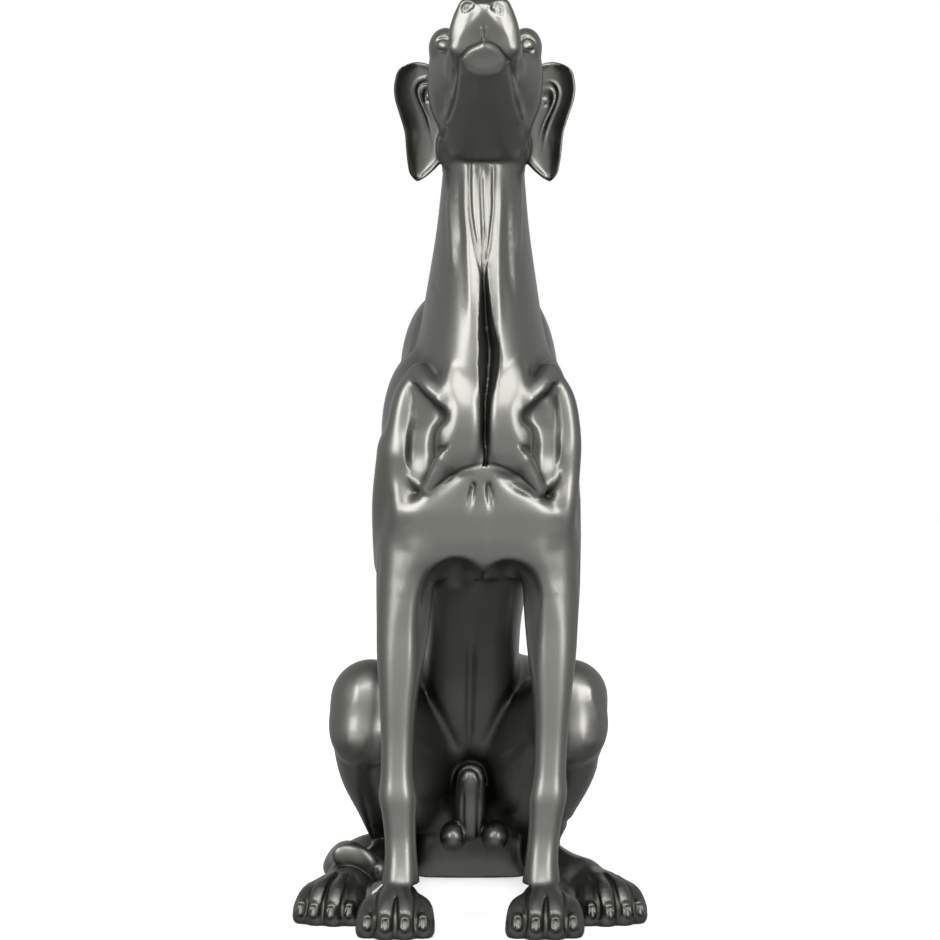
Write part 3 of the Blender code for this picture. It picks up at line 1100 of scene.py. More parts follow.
@dataclass
class Head:
    """Skull, muzzle and jaw, in mm along a frame of the head's own.

    Attributes:
        pitch: Degrees the muzzle points above the level.
        origin: Where the head's frame starts, at the back of the skull.
        drift: How far the muzzle turns to the dog's right, as a share of its length.
        turned_from: How far along the head it turns about.
        skull: Distance from the origin, half width, underside and top.
        upper_jaw: The same for the muzzle.
        lower_jaw: The same for the jaw.
        nose_plane: A point on the muzzle's middle plane, and which way it faces.
        facet: The same for the plane at the left of it.
        facet_shift: How far both facets stand to the dog's left.
        chin_plane: The same for the plane of the chin.
    """

    pitch: float = 22.0
    origin: Point = (0.0, -63.0, 717.0)
    drift: float = 0.018
    turned_from: float = 90.0
    skull: Rows = (
        (-9, 12, 2, 26), (5, 32, -24, 42), (28, 44, -36, 50), (58, 49.5, -40, 52), (82, 49.5, -38, 48),
        (98, 42, -32, 40), (116, 31, -24, 27),
    )
    upper_jaw: Rows = (
        (75, 36, -27, 38), (100, 34.5, -28, 32), (125, 32.5, -28, 26), (148, 31, -27, 23),
        (165, 29, -24, 21.5), (176, 26, -20, 21), (185, 21, -14, 18.5), (191, 13, -7, 14.5), (194, 6, -1, 10),
    )
    lower_jaw: Rows = (
        (6, 36, -50, 0), (35, 41, -54, 0), (65, 38, -52, -8), (95, 32, -48, -14), (125, 26, -43, -14),
        (145, 22, -38, -12), (160, 19.5, -36, -12), (168, 15, -33, -14), (173, 8, -28, -17),
    )
    nose_plane: tuple[Point, Point] = ((0, -243.5, 799), (0, -0.94, -0.34))
    facet: tuple[Point, Point] = ((10.2, -237.5, 780), (0.4, -0.917, 0.04))
    facet_shift: float = -1.5
    chin_plane: tuple[Point, Point] = ((0, -229.5, 764), (0, -0.94, -0.34))

    def __post_init__(self) -> None:
        """Works out the head's axes."""
        rise, run = math.sin(math.radians(self.pitch)), math.cos(math.radians(self.pitch))
        self.axes = np.array(((1, 0, 0), (0, rise, run), (-self.drift, -run, rise)))

    def place(self, across: float, along: float, up: float) -> Array:
        """A point given in the head's own frame.

        Args:
            across: Towards the dog's left, in mm.
            along: Towards the muzzle.
            up: Towards the crown.

        Returns:
            The point in the upright figure.
        """
        shifted = across - self.drift * (along - self.turned_from)
        ahead = self.axes[2] * (0, 1, 1)
        return np.array(self.origin) + shifted * self.axes[0] + up * self.axes[1] + along * ahead

    def lump(self, across: float, along: float, up: float, radii: Point) -> Lump:
        """An egg-shaped mass placed and turned with the head."""
        return Lump(self.place(across, along, up), radii, (-self.pitch, 0, 0))

    def slices(self, rows: Rows, square: float, taper: float) -> Slices:
        """Slices across the head's own frame.

        Args:
            rows: The rows, along the head.
            square: How square they are.
            taper: How their width changes with height.

        Returns:
            The slices.
        """
        drifted = [(*row, -self.drift * (row[0] - self.turned_from)) for row in rows]
        axes = self.axes * ((1, 1, 1), (1, 1, 1), (0, 1, 1))
        return Slices(drifted, self.origin, axes, square, taper)

    def muzzle(self) -> Form:
        """The upper jaw, planed at the front into a middle plane that faces down and a facet to each side.

        Returns:
            The form.
        """
        form: Form = Trimmed(self.slices(self.upper_jaw, 2.5, -0.1), *self.nose_plane, 3)
        (x, y, z), (across, ahead, up) = self.facet
        for side in (-1, 1):
            form = Trimmed(form, (x * side + self.facet_shift, y, z), (across * side, ahead, up), 2)
        return form

    def steps(self) -> Steps:
        """The steps that model it.

        Returns:
            The steps, in order.
        """
        sides = [
            Step(self.lump(30, 60, -8, (18, 34, 27)), 10),
            Step(self.lump(35, 88, 25, (14.5, 20, 17)), 6),
            Step(Lump((29, -76, 692), (13, 20, 17)), 12),
            Step(self.lump(18.5, 152, -13, (13, 22, 15)), 8),
        ]
        flew = Limb(((13, -227.5, 796, 9.5), (18, -224, 780, 11), (20.5, -222, 765, 11)))
        flews = [Step(Trimmed(flew, *self.facet, 1.5), 4)]
        return [
            Step(self.slices(self.skull, 2.3, 0.0), 14),
            Step(Trimmed(self.slices(self.lower_jaw, 2.3, 0.0), *self.chin_plane, 3), 8),
            Step(self.muzzle(), 5),
            *both(sides),
            *both(flews, self.facet_shift),
            Step(self.lump(0, 177, 8, (21, 10, 12)), 10),
            Step(Trimmed(self.lump(0, 163, -19, (18, 14, 15)), *self.chin_plane, 3), 4),
        ]

    def marks(self) -> list[Mark]:
        """Nose, lips, eyes and the folds of the face.

        Returns:
            The marks.
        """
        nose = [
            Mark(((463.5, 15), (462.5, 10), (466, 6.5), (471, 7.5), (472, 11)), 1.3, 2.2, fade=0.1),
            Mark(((500.5, 15), (501.5, 10), (498, 6.5), (493, 7.5), (492, 11)), 1.3, 2.2, fade=0.1),
            Mark(((468, 10), (469.5, 9)), 2.2, 3.4, fade=0),
            Mark(((496, 10), (494.5, 9)), 2.2, 3.4, fade=0),
            Mark(((461, 16), (466, 13.5), (471, 12)), 1.0, 0.9),
            Mark(((503, 17), (498, 15), (494, 13)), 1.0, 0.9),
            Mark(((483, -2), (483, 8), (483, 18)), 1.3, 1.0),
            Mark(((482, 26), (482, 36), (482.5, 46)), 0.9, 1.4),
            Mark(((480, 27), (480, 42)), 1.5, -0.9),
            Mark(((485, 27), (485, 42)), 1.9, -1.0),
        ]
        lips = [
            Mark(((483, 45), (476, 48), (469, 51.5), (463, 57), (458, 61)), 1.7, 3.0, fade=0.1),
            Mark(((483, 45), (490, 47), (497, 52), (503, 59), (509, 64)), 1.7, 3.0, fade=0.1),
            Mark(((458, 61), (458, 70), (457, 85), (454, 103), (449, 118), (445, 126)), 1.7, 2.0, fade=0.08),
            Mark(((509, 64), (511, 74), (513, 89), (516, 104), (520, 116), (522, 126)), 1.7, 2.0, fade=0.08),
            Mark(((451, 55), (452, 75), (450, 98), (445, 115)), 2.4, -1.3),
            Mark(((517, 57), (515, 75), (518, 98), (523, 115)), 2.4, -1.3),
            Mark(((442, 118), (446, 124), (449, 121)), 1.8, -1.8),
            Mark(((524, 117), (521, 124), (518, 120)), 1.8, -1.8),
            Mark(((446, 128), (441, 142), (440, 156)), 3.0, 1.6),
            Mark(((522, 128), (528, 142), (530, 156)), 3.0, 1.6),
        ]
        eyes = [
            Mark(((435.5, 48.5), (436.5, 44), (441, 40.5), (447, 41), (450, 46)), 1.4, 1.8, fade=0.1),
            Mark(((535.5, 48.5), (534, 43), (529.5, 39.5), (523, 40), (520, 45)), 1.4, 1.8, fade=0.1),
            Mark(((437.5, 51), (442, 52.5), (448, 51.5)), 1.3, 1.8, fade=0.1),
            Mark(((533.5, 51), (529, 52.5), (522, 51.5)), 1.3, 1.8, fade=0.1),
            Mark(((440, 47), (443, 47)), 3.6, -1.6, fade=0),
            Mark(((529, 47), (526, 47)), 3.6, -1.6, fade=0),
        ]
        return nose + lips + eyes


@dataclass
class Ears:
    """The ears, in mm.

    Attributes:
        rows: Height, edge at the head and outer edge.
    """

    rows: Rows = (
        (661, 58, 62), (668, 49, 66.5), (677, 40, 68.5), (690, 36, 70), (705, 35, 71.5), (720, 35, 76),
        (735, 35, 80.5), (750, 37, 80.5), (761, 43, 76), (768, 54, 66),
    )

    def steps(self) -> Steps:
        """The steps that model them."""
        return both([Step(Leaf(self.rows), 4)])

    def marks(self) -> list[Mark]:
        """The folds of the ears.

        Returns:
            The marks.
        """
        left = [
            Mark(
                (
                    (428, 80), (424, 79.5), (417, 83), (413.5, 91),
                    (417, 102), (423, 115), (428, 132), (431, 149),
                ),
                1.4,
                -2.2,
            ),
            Mark(((428, 87), (426, 87), (423, 89), (421, 97), (424, 107), (428, 114), (431, 118)), 1.3, -1.8),
            Mark(((427, 100), (426, 94), (425.5, 99), (427.5, 105)), 2.6, 2.2),
            Mark(((427.5, 85), (421, 85), (417.5, 93), (421, 105), (427, 120), (430, 136)), 1.5, 1.2),
        ]
        right = [
            Mark(
                (
                    (544, 83.5), (548, 82.5), (555, 86), (558, 95),
                    (555, 108), (549, 122), (544, 138), (542, 152),
                ),
                1.4,
                -2.2,
            ),
            Mark(
                ((544, 91), (547, 90), (552, 93), (553, 101), (549, 112), (543, 125), (538, 140)), 1.3, -1.8
            ),
            Mark(((544.5, 102), (546, 97), (547.5, 103), (544.5, 109)), 2.6, 2.2),
            Mark(((544.5, 87.5), (551, 87), (555, 96), (552, 108), (546, 122), (541, 140)), 1.5, 1.2),
        ]
        return left + right


@dataclass
class Paw:
    """A pair of paws and their toes, in mm.

    Attributes:
        heel: Where the paw starts, across and along.
        turn: Degrees it is turned out.
        reach: How far the longest toe reaches from the heel.
        toes: Places across and how far each tip falls short.
    """

    heel: Point
    turn: float
    reach: float
    toes: Rows

    def at(self, side: float, forward: float, up: float) -> tuple[float, float, float]:
        """A place on the paw, from its heel.

        Args:
            side: Towards the dog's left, in mm.
            forward: Towards the toes.
            up: Above the floor.

        Returns:
            The place.
        """
        angle = math.radians(self.turn)
        x = self.heel[0] + side * math.cos(angle) + forward * math.sin(angle)
        y = self.heel[1] + side * math.sin(angle) - forward * math.cos(angle)
        return x, y, up

    def steps(self) -> Steps:
        """The steps that model both paws.

        Returns:
            The steps, in order.
        """
        left = [Step(Limb(((*self.at(0, -14, 20), 21), (*self.at(0, 16, 17), 25))), 9)]
        for side, short in self.toes:
            tip = self.reach - short
            arch = 30 - 0.013 * side**2
            toe = (
                (*self.at(side * 0.5, -4, arch + 1), 8.5),
                (*self.at(side * 0.88, tip - 27, arch), 10),
                (*self.at(side, tip - 13, arch - 9), 10.2),
                (*self.at(side, tip - 10, 7), 10.6),
            )
            left.append(Step(Limb(toe, 4), 7.0))
        return both(left + self.nails())

    def nails(self) -> Steps:
        """The nails, each in its ring of skin.

        Returns:
            The steps for the left paw's nails.
        """
        steps = []
        for side, short in self.toes:
            tip = self.reach - short
            pad = Limb(((*self.at(side, tip - 3.5, 17.5), 5.0), (*self.at(side, tip - 2, 12), 5.2)))
            ring = Limb(((*self.at(side, tip + 2.2, 17), 2.6), (*self.at(side, tip + 3.6, 10.5), 2.8)))
            nail = Limb(((*self.at(side, tip - 1.5, 16), 2.6), (*self.at(side, tip + 1.6, 10.5), 2.4)))
            steps += [Step(pad, 2.5), Cut(ring, 1.5), Step(nail, 0.6)]
        return steps

    def marks(self) -> Steps:
        """The grooves between the toes.

        Returns:
            The steps, in order.
        """
        left = []
        for (one, short), (two, other) in zip(self.toes, self.toes[1:]):
            tip = self.reach - (short + other) / 2
            side = (one + two) / 2
            groove = [
                self.at(side * 0.7, 4, 41),
                self.at(side * 0.9, tip - 26, 37),
                self.at(side, tip - 12, 29),
                self.at(side, tip - 3, 18),
                self.at(side, tip - 1, 3),
            ]
            left.append(Press(Stroke(smooth_path(groove, 5), 1.9, 0.35), 3.0))
        return both(left)


@dataclass
class Tail:
    """The tail, from the rump round the right haunch onto the hind foot, in mm.

    Attributes:
        marks: Points along it with its radius there.
    """

    marks: Rows = (
        (0, 212, 34, 22), (-48, 226, 16, 17), (-102, 196, 12, 14), (-124, 130, 11, 13), (-128, 60, 18, 12.5),
        (-120, 0, 38, 12.5), (-110, -42, 47, 12.5), (-86, -58, 36, 11),
    )

    def steps(self) -> Steps:
        """The steps that model it."""
        return [Step(Limb(self.marks, 8), 5), Step(Lump((-106, -66, 47), (21, 6, 13.5), (0, 20, 0)), 2)]


@dataclass
class Drawer:
    """Draws a mesh over a skin.

    Attributes:
        skin: The skin.
        grain: Size of the first cells, in mm.
        triangles: How many triangles are kept.
        low: Lowest corner that is looked at, in mm.
        high: Highest corner that is looked at.
        rays: How many ways each spot looks to see how enclosed it is.
        outlook: How far it looks, in mm.
        evenings: How many times what it saw is evened out.
    """

    skin: Skin
    grain: float
    triangles: int
    low: Point = (-172.0, -254.0, -6.0)
    high: Point = (172.0, 256.0, 815.0)
    rays: int = 12
    outlook: float = 150.0
    evenings: int = 6

    def sampled(self) -> Array:
        """Distances on a grid, exact near the skin and only signed elsewhere.

        Returns:
            The distances, in mm, on the whole grid.
        """
        split = 4  # fine cells along each coarse one
        low = np.array(self.low)
        wide = split * self.grain
        counts = np.ceil((np.array(self.high) - low) / wide).astype(int) + 1
        coarse = np.stack(np.meshgrid(*(np.arange(n) for n in counts), indexing="ij"), -1).reshape(-1, 3)
        rough = self.skin.value(low + coarse * wide).reshape(counts)
        near = np.abs(rough) < 1.5 * wide
        live = np.zeros(counts - 1, bool)
        signs = np.zeros(counts - 1, bool)
        for corner in np.ndindex(2, 2, 2):
            part = tuple(slice(start, start + count - 1) for start, count in zip(corner, counts))
            live |= near[part]
            signs |= rough[part] < 0
        fine = (counts - 1) * split + 1
        full = np.full(fine, FAR, np.float32)
        filled = np.repeat(np.repeat(np.repeat(signs, split, 0), split, 1), split, 2)
        full[:-1, :-1, :-1][filled] = -FAR
        cells = np.argwhere(live)
        wanted = np.zeros(fine, bool)
        offsets = np.stack(np.meshgrid(*[np.arange(split + 1)] * 3, indexing="ij"), -1).reshape(-1, 3)
        for offset in offsets:
            spots = cells * split + offset
            wanted[spots[:, 0], spots[:, 1], spots[:, 2]] = True
        spots = np.argwhere(wanted)
        full[wanted] = self.skin.value(low + spots * self.grain)
        return full

    def nets(self, values: Array) -> tuple[Array, Array]:
        """Vertices and quads of the zero level, one vertex to a cell.

        Args:
            values: Distances on a grid.

        Returns:
            The vertices in mm, and the quads.
        """
        inside = values < 0
        size = np.array(values.shape) - 1
        corners = [np.array(((n >> 2) & 1, (n >> 1) & 1, n & 1)) for n in range(8)]
        count = np.zeros(size, np.int8)
        for c in corners:
            count += inside[c[0] : c[0] + size[0], c[1] : c[1] + size[1], c[2] : c[2] + size[2]]
        mixed = (count > 0) & (count < 8)
        cells = np.argwhere(mixed)
        number = np.full(size, -1, np.int32)
        number[mixed] = np.arange(len(cells))
        total, hits = np.zeros((len(cells), 3)), np.zeros(len(cells))
        for axis in range(3):
            for c in corners:
                if c[axis]:
                    continue
                d = c.copy()
                d[axis] = 1
                a = values[tuple((cells + c).T)].astype(float)
                b = values[tuple((cells + d).T)].astype(float)
                cross = (a < 0) != (b < 0)
                t = np.where(cross, a / np.where(cross, a - b, 1), 0)
                total += (c + t[:, None] * (d - c)) * cross[:, None]
                hits += cross
        points = np.array(self.low) + self.grain * (cells + total / hits[:, None])
        quads = []
        for axis in range(3):
            one, two = (axis + 1) % 3, (axis + 2) % 3
            first = [slice(1, -1)] * 3
            second = [slice(1, -1)] * 3
            first[axis], second[axis] = slice(0, -1), slice(1, None)
            starts = inside[tuple(first)]
            change = np.argwhere(starts != inside[tuple(second)])
            grid = change + 1
            grid[:, axis] -= 1
            around = []
            for back_one, back_two in ((1, 1), (0, 1), (0, 0), (1, 0)):
                at = grid.copy()
                at[:, one] -= back_one
                at[:, two] -= back_two
                around.append(number[tuple(at.T)])
            ring = np.stack(around, 1)
            flip = ~inside[tuple(grid.T)]
            ring[flip] = ring[flip][:, ::-1]
            quads.append(ring)
        return points, np.concatenate(quads)

    def refined(self, form: bmesh.types.BMesh, width: float, boxes: Sequence) -> None:
        """Splits the edges on fine strokes, or within boxes, in two.

        Args:
            form: The mesh, in mm.
            width: The widest half width of a fine stroke.
            boxes: Lowest and highest corners of the boxes.
        """
        spots = np.array([vert.co for vert in form.verts])
        chosen = self.skin.worked(spots, width)
        for low, high in boxes:
            chosen |= ((spots > np.array(low)) & (spots < np.array(high))).all(1)
        form.verts.index_update()
        edges = [edge for edge in form.edges if chosen[edge.verts[0].index] or chosen[edge.verts[1].index]]
        bmesh.ops.subdivide_edges(form, edges=edges, cuts=1, use_grid_fill=True)
        bmesh.ops.triangulate(form, faces=[face for face in form.faces if len(face.verts) > 3])
        spots = self.skin.settle(np.array([vert.co for vert in form.verts]), 1)
        for vert, spot in zip(form.verts, spots.tolist()):
            vert.co = spot

    def mesh(self, name: str, rounds: Sequence[tuple[float, Sequence]]) -> bpy.types.Mesh:
        """The mesh over the skin, in metres and in the frame.

        Args:
            name: The mesh's name.
            rounds: For each time it is made finer, the widest fine stroke and the boxes.

        Returns:
            The mesh, with normals read from the skin.
        """
        points, quads = self.nets(self.sampled())
        LOG.info("nets: %d vertices, %d quads", len(points), len(quads))
        points = self.skin.settle(points, 1)
        form = bmesh.new()
        for point in points:
            form.verts.new(point)
        form.verts.ensure_lookup_table()
        verts = list(form.verts)
        for quad in quads.tolist():
            form.faces.new([verts[i] for i in quad])
        bmesh.ops.triangulate(form, faces=form.faces, quad_method="SHORT_EDGE")
        for width, boxes in rounds:
            self.refined(form, width, boxes)
        mesh = bpy.data.meshes.new(name)
        form.to_mesh(mesh)
        form.free()
        mesh = self.thinned(mesh)
        count = len(mesh.vertices)
        spots = np.empty(count * 3)
        mesh.vertices.foreach_get("co", spots)
        spots = self.skin.settle(spots.reshape(-1, 3).astype(float), 2)
        _, normals = self.skin.slope(spots, 0.7)
        normals /= np.maximum(np.sqrt((normals**2).sum(1)), 1e-6)[:, None]
        mesh.vertices.foreach_set("co", (to_frame(spots) / 1000).ravel())
        mesh.polygons.foreach_set("use_smooth", np.ones(len(mesh.polygons), bool))
        mesh.update()
        mesh.normals_split_custom_set_from_vertices(normals.tolist())
        # crease depth and enclosure, which the lacquer reads to paint shade into its colour
        shares = {"hollow": self.hollow(spots, normals), "enclosed": self.enclosed(mesh, spots, normals)}
        for kind, values in shares.items():
            mesh.attributes.new(kind, "FLOAT", "POINT").data.foreach_set("value", values)
        return mesh

    def enclosed(self, mesh: bpy.types.Mesh, spots: Array, normals: Array) -> Array:
        """What share of the open air ahead of each spot the rest of the figure takes up.

        Args:
            mesh: The mesh, for its faces.
            spots: Its points, in mm.
            normals: Their normals.

        Returns:
            The shares, evened out over neighbours.
        """
        faces = np.empty(len(mesh.polygons) * 3, np.int32)
        mesh.polygons.foreach_get("vertices", faces)
        tree = BVHTree.FromPolygons(spots.tolist(), faces.reshape(-1, 3).tolist(), all_triangles=True)
        turns = np.arange(self.rays) * GOLDEN
        rise = np.sqrt((np.arange(self.rays) + 0.5) / self.rays)
        fan = np.column_stack((rise * np.cos(turns), rise * np.sin(turns), np.sqrt(1 - rise**2)))
        side = np.cross(normals, (0.31, 0.17, 0.93))  # a slanted way that no normal follows for long
        side /= np.maximum(np.sqrt((side**2).sum(1)), 1e-6)[:, None]
        up = np.cross(normals, side)
        starts = (spots + normals * 0.8).tolist()
        hits = np.zeros(len(spots))
        for x, y, z in fan.tolist():
            ways = (side * x + up * y + normals * z).tolist()
            seen = (tree.ray_cast(start, way, self.outlook)[3] for start, way in zip(starts, ways))
            hits += [gap is not None for gap in seen]
        shares = hits / len(fan)
        edges = np.empty(len(mesh.edges) * 2, np.int32)
        mesh.edges.foreach_get("vertices", edges)
        one, two = edges.reshape(-1, 2).T
        counts = 1 + np.bincount(one, minlength=len(spots)) + np.bincount(two, minlength=len(spots))
        for _ in range(self.evenings):
            onward = np.bincount(one, shares[two], len(spots))
            back = np.bincount(two, shares[one], len(spots))
            shares = (shares + onward + back) / counts
        return shares

    def hollow(self, spots: Array, normals: Array) -> Array:
        """How deep each spot lies between what surrounds it, from 0 to 1.

        Args:
            spots: The mesh's points, in mm.
            normals: Their normals.

        Returns:
            The depths.
        """
        depth = np.zeros(len(spots))
        for reach in (3.0, 7.0):
            depth += np.clip((reach - self.skin.value(spots + normals * reach)) / reach, 0, 1)
        return depth / 2

    def thinned(self, mesh: bpy.types.Mesh) -> bpy.types.Mesh:
        """The mesh with only as many triangles as are kept.

        Args:
            mesh: The mesh.

        Returns:
            The thinned mesh, or the same one where it has no more.
        """
        total = len(mesh.polygons)
        LOG.info("thinning %d triangles", total)
        if total <= self.triangles:
            return mesh
        holder = bpy.data.objects.new("holder", mesh)
        bpy.context.scene.collection.objects.link(holder)
        thin = holder.modifiers.new("Thin", "DECIMATE")
        thin.ratio = self.triangles / total
        graph = bpy.context.evaluated_depsgraph_get()
        done = bpy.data.meshes.new_from_object(holder.evaluated_get(graph))
        bpy.data.objects.remove(holder)
        return done


class Socket:
    """A node's output, with arithmetic that adds Math nodes."""

    def __init__(self, tree: "Nodes", socket: bpy.types.NodeSocket) -> None:
        """Wraps one output of a node in a tree."""
        self.tree = tree
        self.socket = socket

    def _math(self, operation: str, a: "Socket | float", b: "Socket | float") -> "Socket":
        """One Math node."""
        return self.tree.node("ShaderNodeMath", {"operation": operation}, {0: a, 1: b})

    def __add__(self, other: "Socket | float") -> "Socket":
        """Adds."""
        return self._math("ADD", self, other)

    __radd__ = __add__

    def __mul__(self, other: "Socket | float") -> "Socket":
        """Multiplies."""
        return self._math("MULTIPLY", self, other)

    __rmul__ = __mul__

    def __sub__(self, other: "Socket | float") -> "Socket":
        """Subtracts."""
        return self._math("SUBTRACT", self, other)

    def __rsub__(self, other: "Socket | float") -> "Socket":
        """Subtracts from a number."""
        return self._math("SUBTRACT", other, self)


class Nodes:
    """The nodes of a material or world, built from Python calls."""

    def __init__(self, owner: bpy.types.Material | bpy.types.World) -> None:
        """Opens the owner's nodes.

        Args:
            owner: The material or world.
        """
        owner.use_nodes = True
        self.owner = owner
        self.nodes = owner.node_tree.nodes
        self.links = owner.node_tree.links

    def put(self, socket: bpy.types.NodeSocket, value: object) -> None:
        """Links a wrapped output to a socket, or sets its value.

        Args:
            socket: The input.
            value: What it is given.
        """
        if isinstance(value, Socket):
            self.links.new(value.socket, socket)
        else:
            socket.default_value = value

    def node(self, kind: str, settings: dict[str, object], inputs: dict, output: int | str = 0) -> Socket:
        """Adds a node.

        Args:
            kind: The node's type.
            settings: Its own settings, which are set first.
            inputs: Values or links of its sockets, by name or number.
            output: Which output is returned.

        Returns:
            The output, wrapped.
        """
        made = self.nodes.new(kind)
        for key, value in settings.items():
            setattr(made, key, value)
        for key, value in inputs.items():
            self.put(made.inputs[key], value)
        return Socket(self, made.outputs[output])

    def remap(self, value: Socket, low: float, high: float, top: float = 1.0, smooth: bool = False) -> Socket:
        """Maps a value onto 0 to top.

        Args:
            value: The value.
            low: What becomes 0.
            high: What becomes top.
            top: The highest result.
            smooth: Whether it eases in and out.

        Returns:
            The result, wrapped.
        """
        settings = {"interpolation_type": "SMOOTHSTEP" if smooth else "LINEAR"}
        inputs = {"Value": value, "From Min": low, "From Max": high, "To Max": top}
        return self.node("ShaderNodeMapRange", settings, inputs)


class Shader(Nodes):
    """A material with one Principled surface."""

    def __init__(self, name: str) -> None:
        """Starts the material."""
        super().__init__(bpy.data.materials.new(name))
        self.surface = self.nodes["Principled BSDF"]

    def finish(self, **inputs: object) -> bpy.types.Material:
        """Sets the surface's sockets, underscores for spaces, and returns the material.

        Args:
            **inputs: A value or link for each socket.

        Returns:
            The material.
        """
        for key, value in inputs.items():
            self.put(self.surface.inputs[key.replace("_", " ")], value)
        return self.owner


@dataclass(frozen=True)
class Lacquer:
    """Dark warm grey metallic lacquer over the casting, with painted shade: its colour darkens in creases, in
    enclosed places and towards the floor.

    Attributes:
        raised: Colour where it stands proud.
        painted_shade: The dark colour painted in as shade in creases, in enclosed places and near the floor.
        roughness: Roughness of the open surface.
        metallic: How metallic it is.
        coat: How strong the clear coat is.
        coat_roughness: Roughness of that coat.
    """

    raised: Colour = (0.185, 0.184, 0.168, 1)
    # painted shade: the dark colour mixed in where the figure is creased, enclosed or near the floor
    painted_shade: Colour = (0.042, 0.042, 0.036, 1)
    roughness: float = 0.35
    metallic: float = 0.92
    coat: float = 0.3
    coat_roughness: float = 0.14

    def material(self) -> bpy.types.Material:
        """Builds the material.

        Returns:
            The material.
        """
        tree = Shader("gunmetal_lacquer")
        place = tree.node("ShaderNodeTexCoord", {}, {}, "Object")
        hollow = tree.node("ShaderNodeAttribute", {"attribute_name": "hollow"}, {}, "Fac")
        enclosed = tree.node("ShaderNodeAttribute", {"attribute_name": "enclosed"}, {}, "Fac")
        height = tree.node("ShaderNodeSeparateXYZ", {}, {0: place}, "Z")
        cloud = tree.node("ShaderNodeTexNoise", {}, {"Vector": place, "Scale": 14.0, "Detail": 3.0}, "Fac")
        flake = tree.node("ShaderNodeTexNoise", {}, {"Vector": place, "Scale": 1400.0, "Detail": 1.0}, "Fac")
        peel = tree.node("ShaderNodeTexNoise", {}, {"Vector": place, "Scale": 320.0, "Detail": 1.0}, "Fac")
        # painted shade: darker in creases (hollow), where the rest of the figure hems the spot in (enclosed)
        # and towards the floor (height), plus random tone from the cloud noise
        near = tree.remap(hollow, 0.08, 0.75)
        wide = tree.remap(enclosed, 0.22, 0.7, 0.9)
        low = tree.remap(height, 0.075, 0.03, 0.7)
        painted_shade_share = (near + wide + low) * 0.85 + (cloud - 0.5) * 0.3
        colours = {"Factor": painted_shade_share, MIX_A: self.raised, MIX_B: self.painted_shade}
        mixed = tree.node("ShaderNodeMix", {"data_type": "RGBA"}, colours, MIX_RESULT)
        relief = {"Strength": 0.06, "Distance": 0.0004, "Height": peel}
        return tree.finish(
            Base_Color=mixed,
            Metallic=self.metallic,
            Roughness=(cloud - 0.5) * 0.10 + near * 0.10 + (flake - 0.5) * 0.06 + self.roughness,
            Normal=tree.node("ShaderNodeBump", {}, relief, "Normal"),
            Coat_Weight=self.coat - near * 0.25,
            Coat_Roughness=self.coat_roughness,
        )


@dataclass(frozen=True)
class Paper:
    """The pale studio floor.

    Attributes:
        colour: Its colour.
        roughness: Its middle roughness.
        glow: How much it is lifted towards white.
    """

    colour: Colour = (0.9, 0.9, 0.9, 1)
    roughness: float = 0.32
    glow: float = 0.5

    def material(self) -> bpy.types.Material:
        """Builds the material.

        Returns:
            The material.
        """
        tree = Shader("pale_floor")
        place = tree.node("ShaderNodeTexCoord", {}, {}, "Object")
        cloud = tree.node("ShaderNodeTexNoise", {}, {"Vector": place, "Scale": 3.0, "Detail": 2.0}, "Fac")
        return tree.finish(
            Base_Color=self.colour,
            Roughness=(cloud - 0.5) * 0.06 + self.roughness,
            Emission_Color=(1, 1, 1, 1),
            Emission_Strength=self.glow,
        )


class Detail(Enum):
    """How fine the mesh is: first cells in mm, triangles kept, and whether it is refined on its strokes."""

    QUICK = (4.0, 60000, False)
    FULL = (2.5, 196000, True)


@dataclass
class Greyhound:
    """The whole casting.

    Attributes:
        torso: Trunk, neck and chest.
        foreleg: The forelegs.
        haunch: The hind legs.
        head: The head.
        ears: The ears.
        tail: The tail.
        fore_paw: The front paws.
        hind_paw: The hind paws.
        finish: Its lacquer.
        refined: Lowest and highest corners of the boxes round head and front paws whose mesh is finer.
        fine: The widest stroke, in mm, that the mesh is refined on the first time and the second.
    """

    torso: Torso = field(default_factory=Torso)
    foreleg: Foreleg = field(default_factory=Foreleg)
    haunch: Haunch = field(default_factory=Haunch)
    head: Head = field(default_factory=Head)
    ears: Ears = field(default_factory=Ears)
    tail: Tail = field(default_factory=Tail)
    fore_paw: Paw = field(
        default_factory=lambda: Paw((65, -150), 0, 50, ((-24, 7), (-8.5, 0), (8.5, 0), (24, 8)))
    )
    hind_paw: Paw = field(
        default_factory=lambda: Paw((114, -80), 16, 62, ((-22.5, 7), (-8, 0), (8, 0), (21.5, 5)))
    )
    finish: Lacquer = field(default_factory=Lacquer)
    refined: Sequence[Rows] = (((-100, -260, 660), (100, -40, 815)), ((-160, -250, 4), (160, -60, 56)))
    fine: Point = (4.2, 2.0)

    def skin(self) -> Skin:
        """The figure's skin after every step of the modelling.

        Returns:
            The skin.
        """
        skin = Skin()
        dressed = (self.torso, self.foreleg, self.haunch, self.head, self.ears)
        for part in (*dressed, self.fore_paw, self.hind_paw, self.tail):
            skin.steps += part.steps()
        skin.steps += self.fore_paw.marks() + self.hind_paw.marks()
        skin.draw([mark for part in dressed for mark in part.marks()])
        return skin

    def build(self) -> bpy.types.Object:
        """Builds and dresses the casting.

        Returns:
            The casting.
        """
        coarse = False
        grain, triangles, finer = (Detail.QUICK if coarse else Detail.FULL).value
        rounds = [(self.fine[0], self.refined), (self.fine[1], [])] if finer else []
        mesh = Drawer(self.skin(), grain, triangles).mesh("greyhound_casting", rounds)
        casting = bpy.data.objects.new("greyhound_casting", mesh)
        bpy.context.scene.collection.objects.link(casting)
        mesh.materials.clear()
        mesh.materials.append(self.finish.material())
        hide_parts("greyhound")
        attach(casting, "root")
        return casting


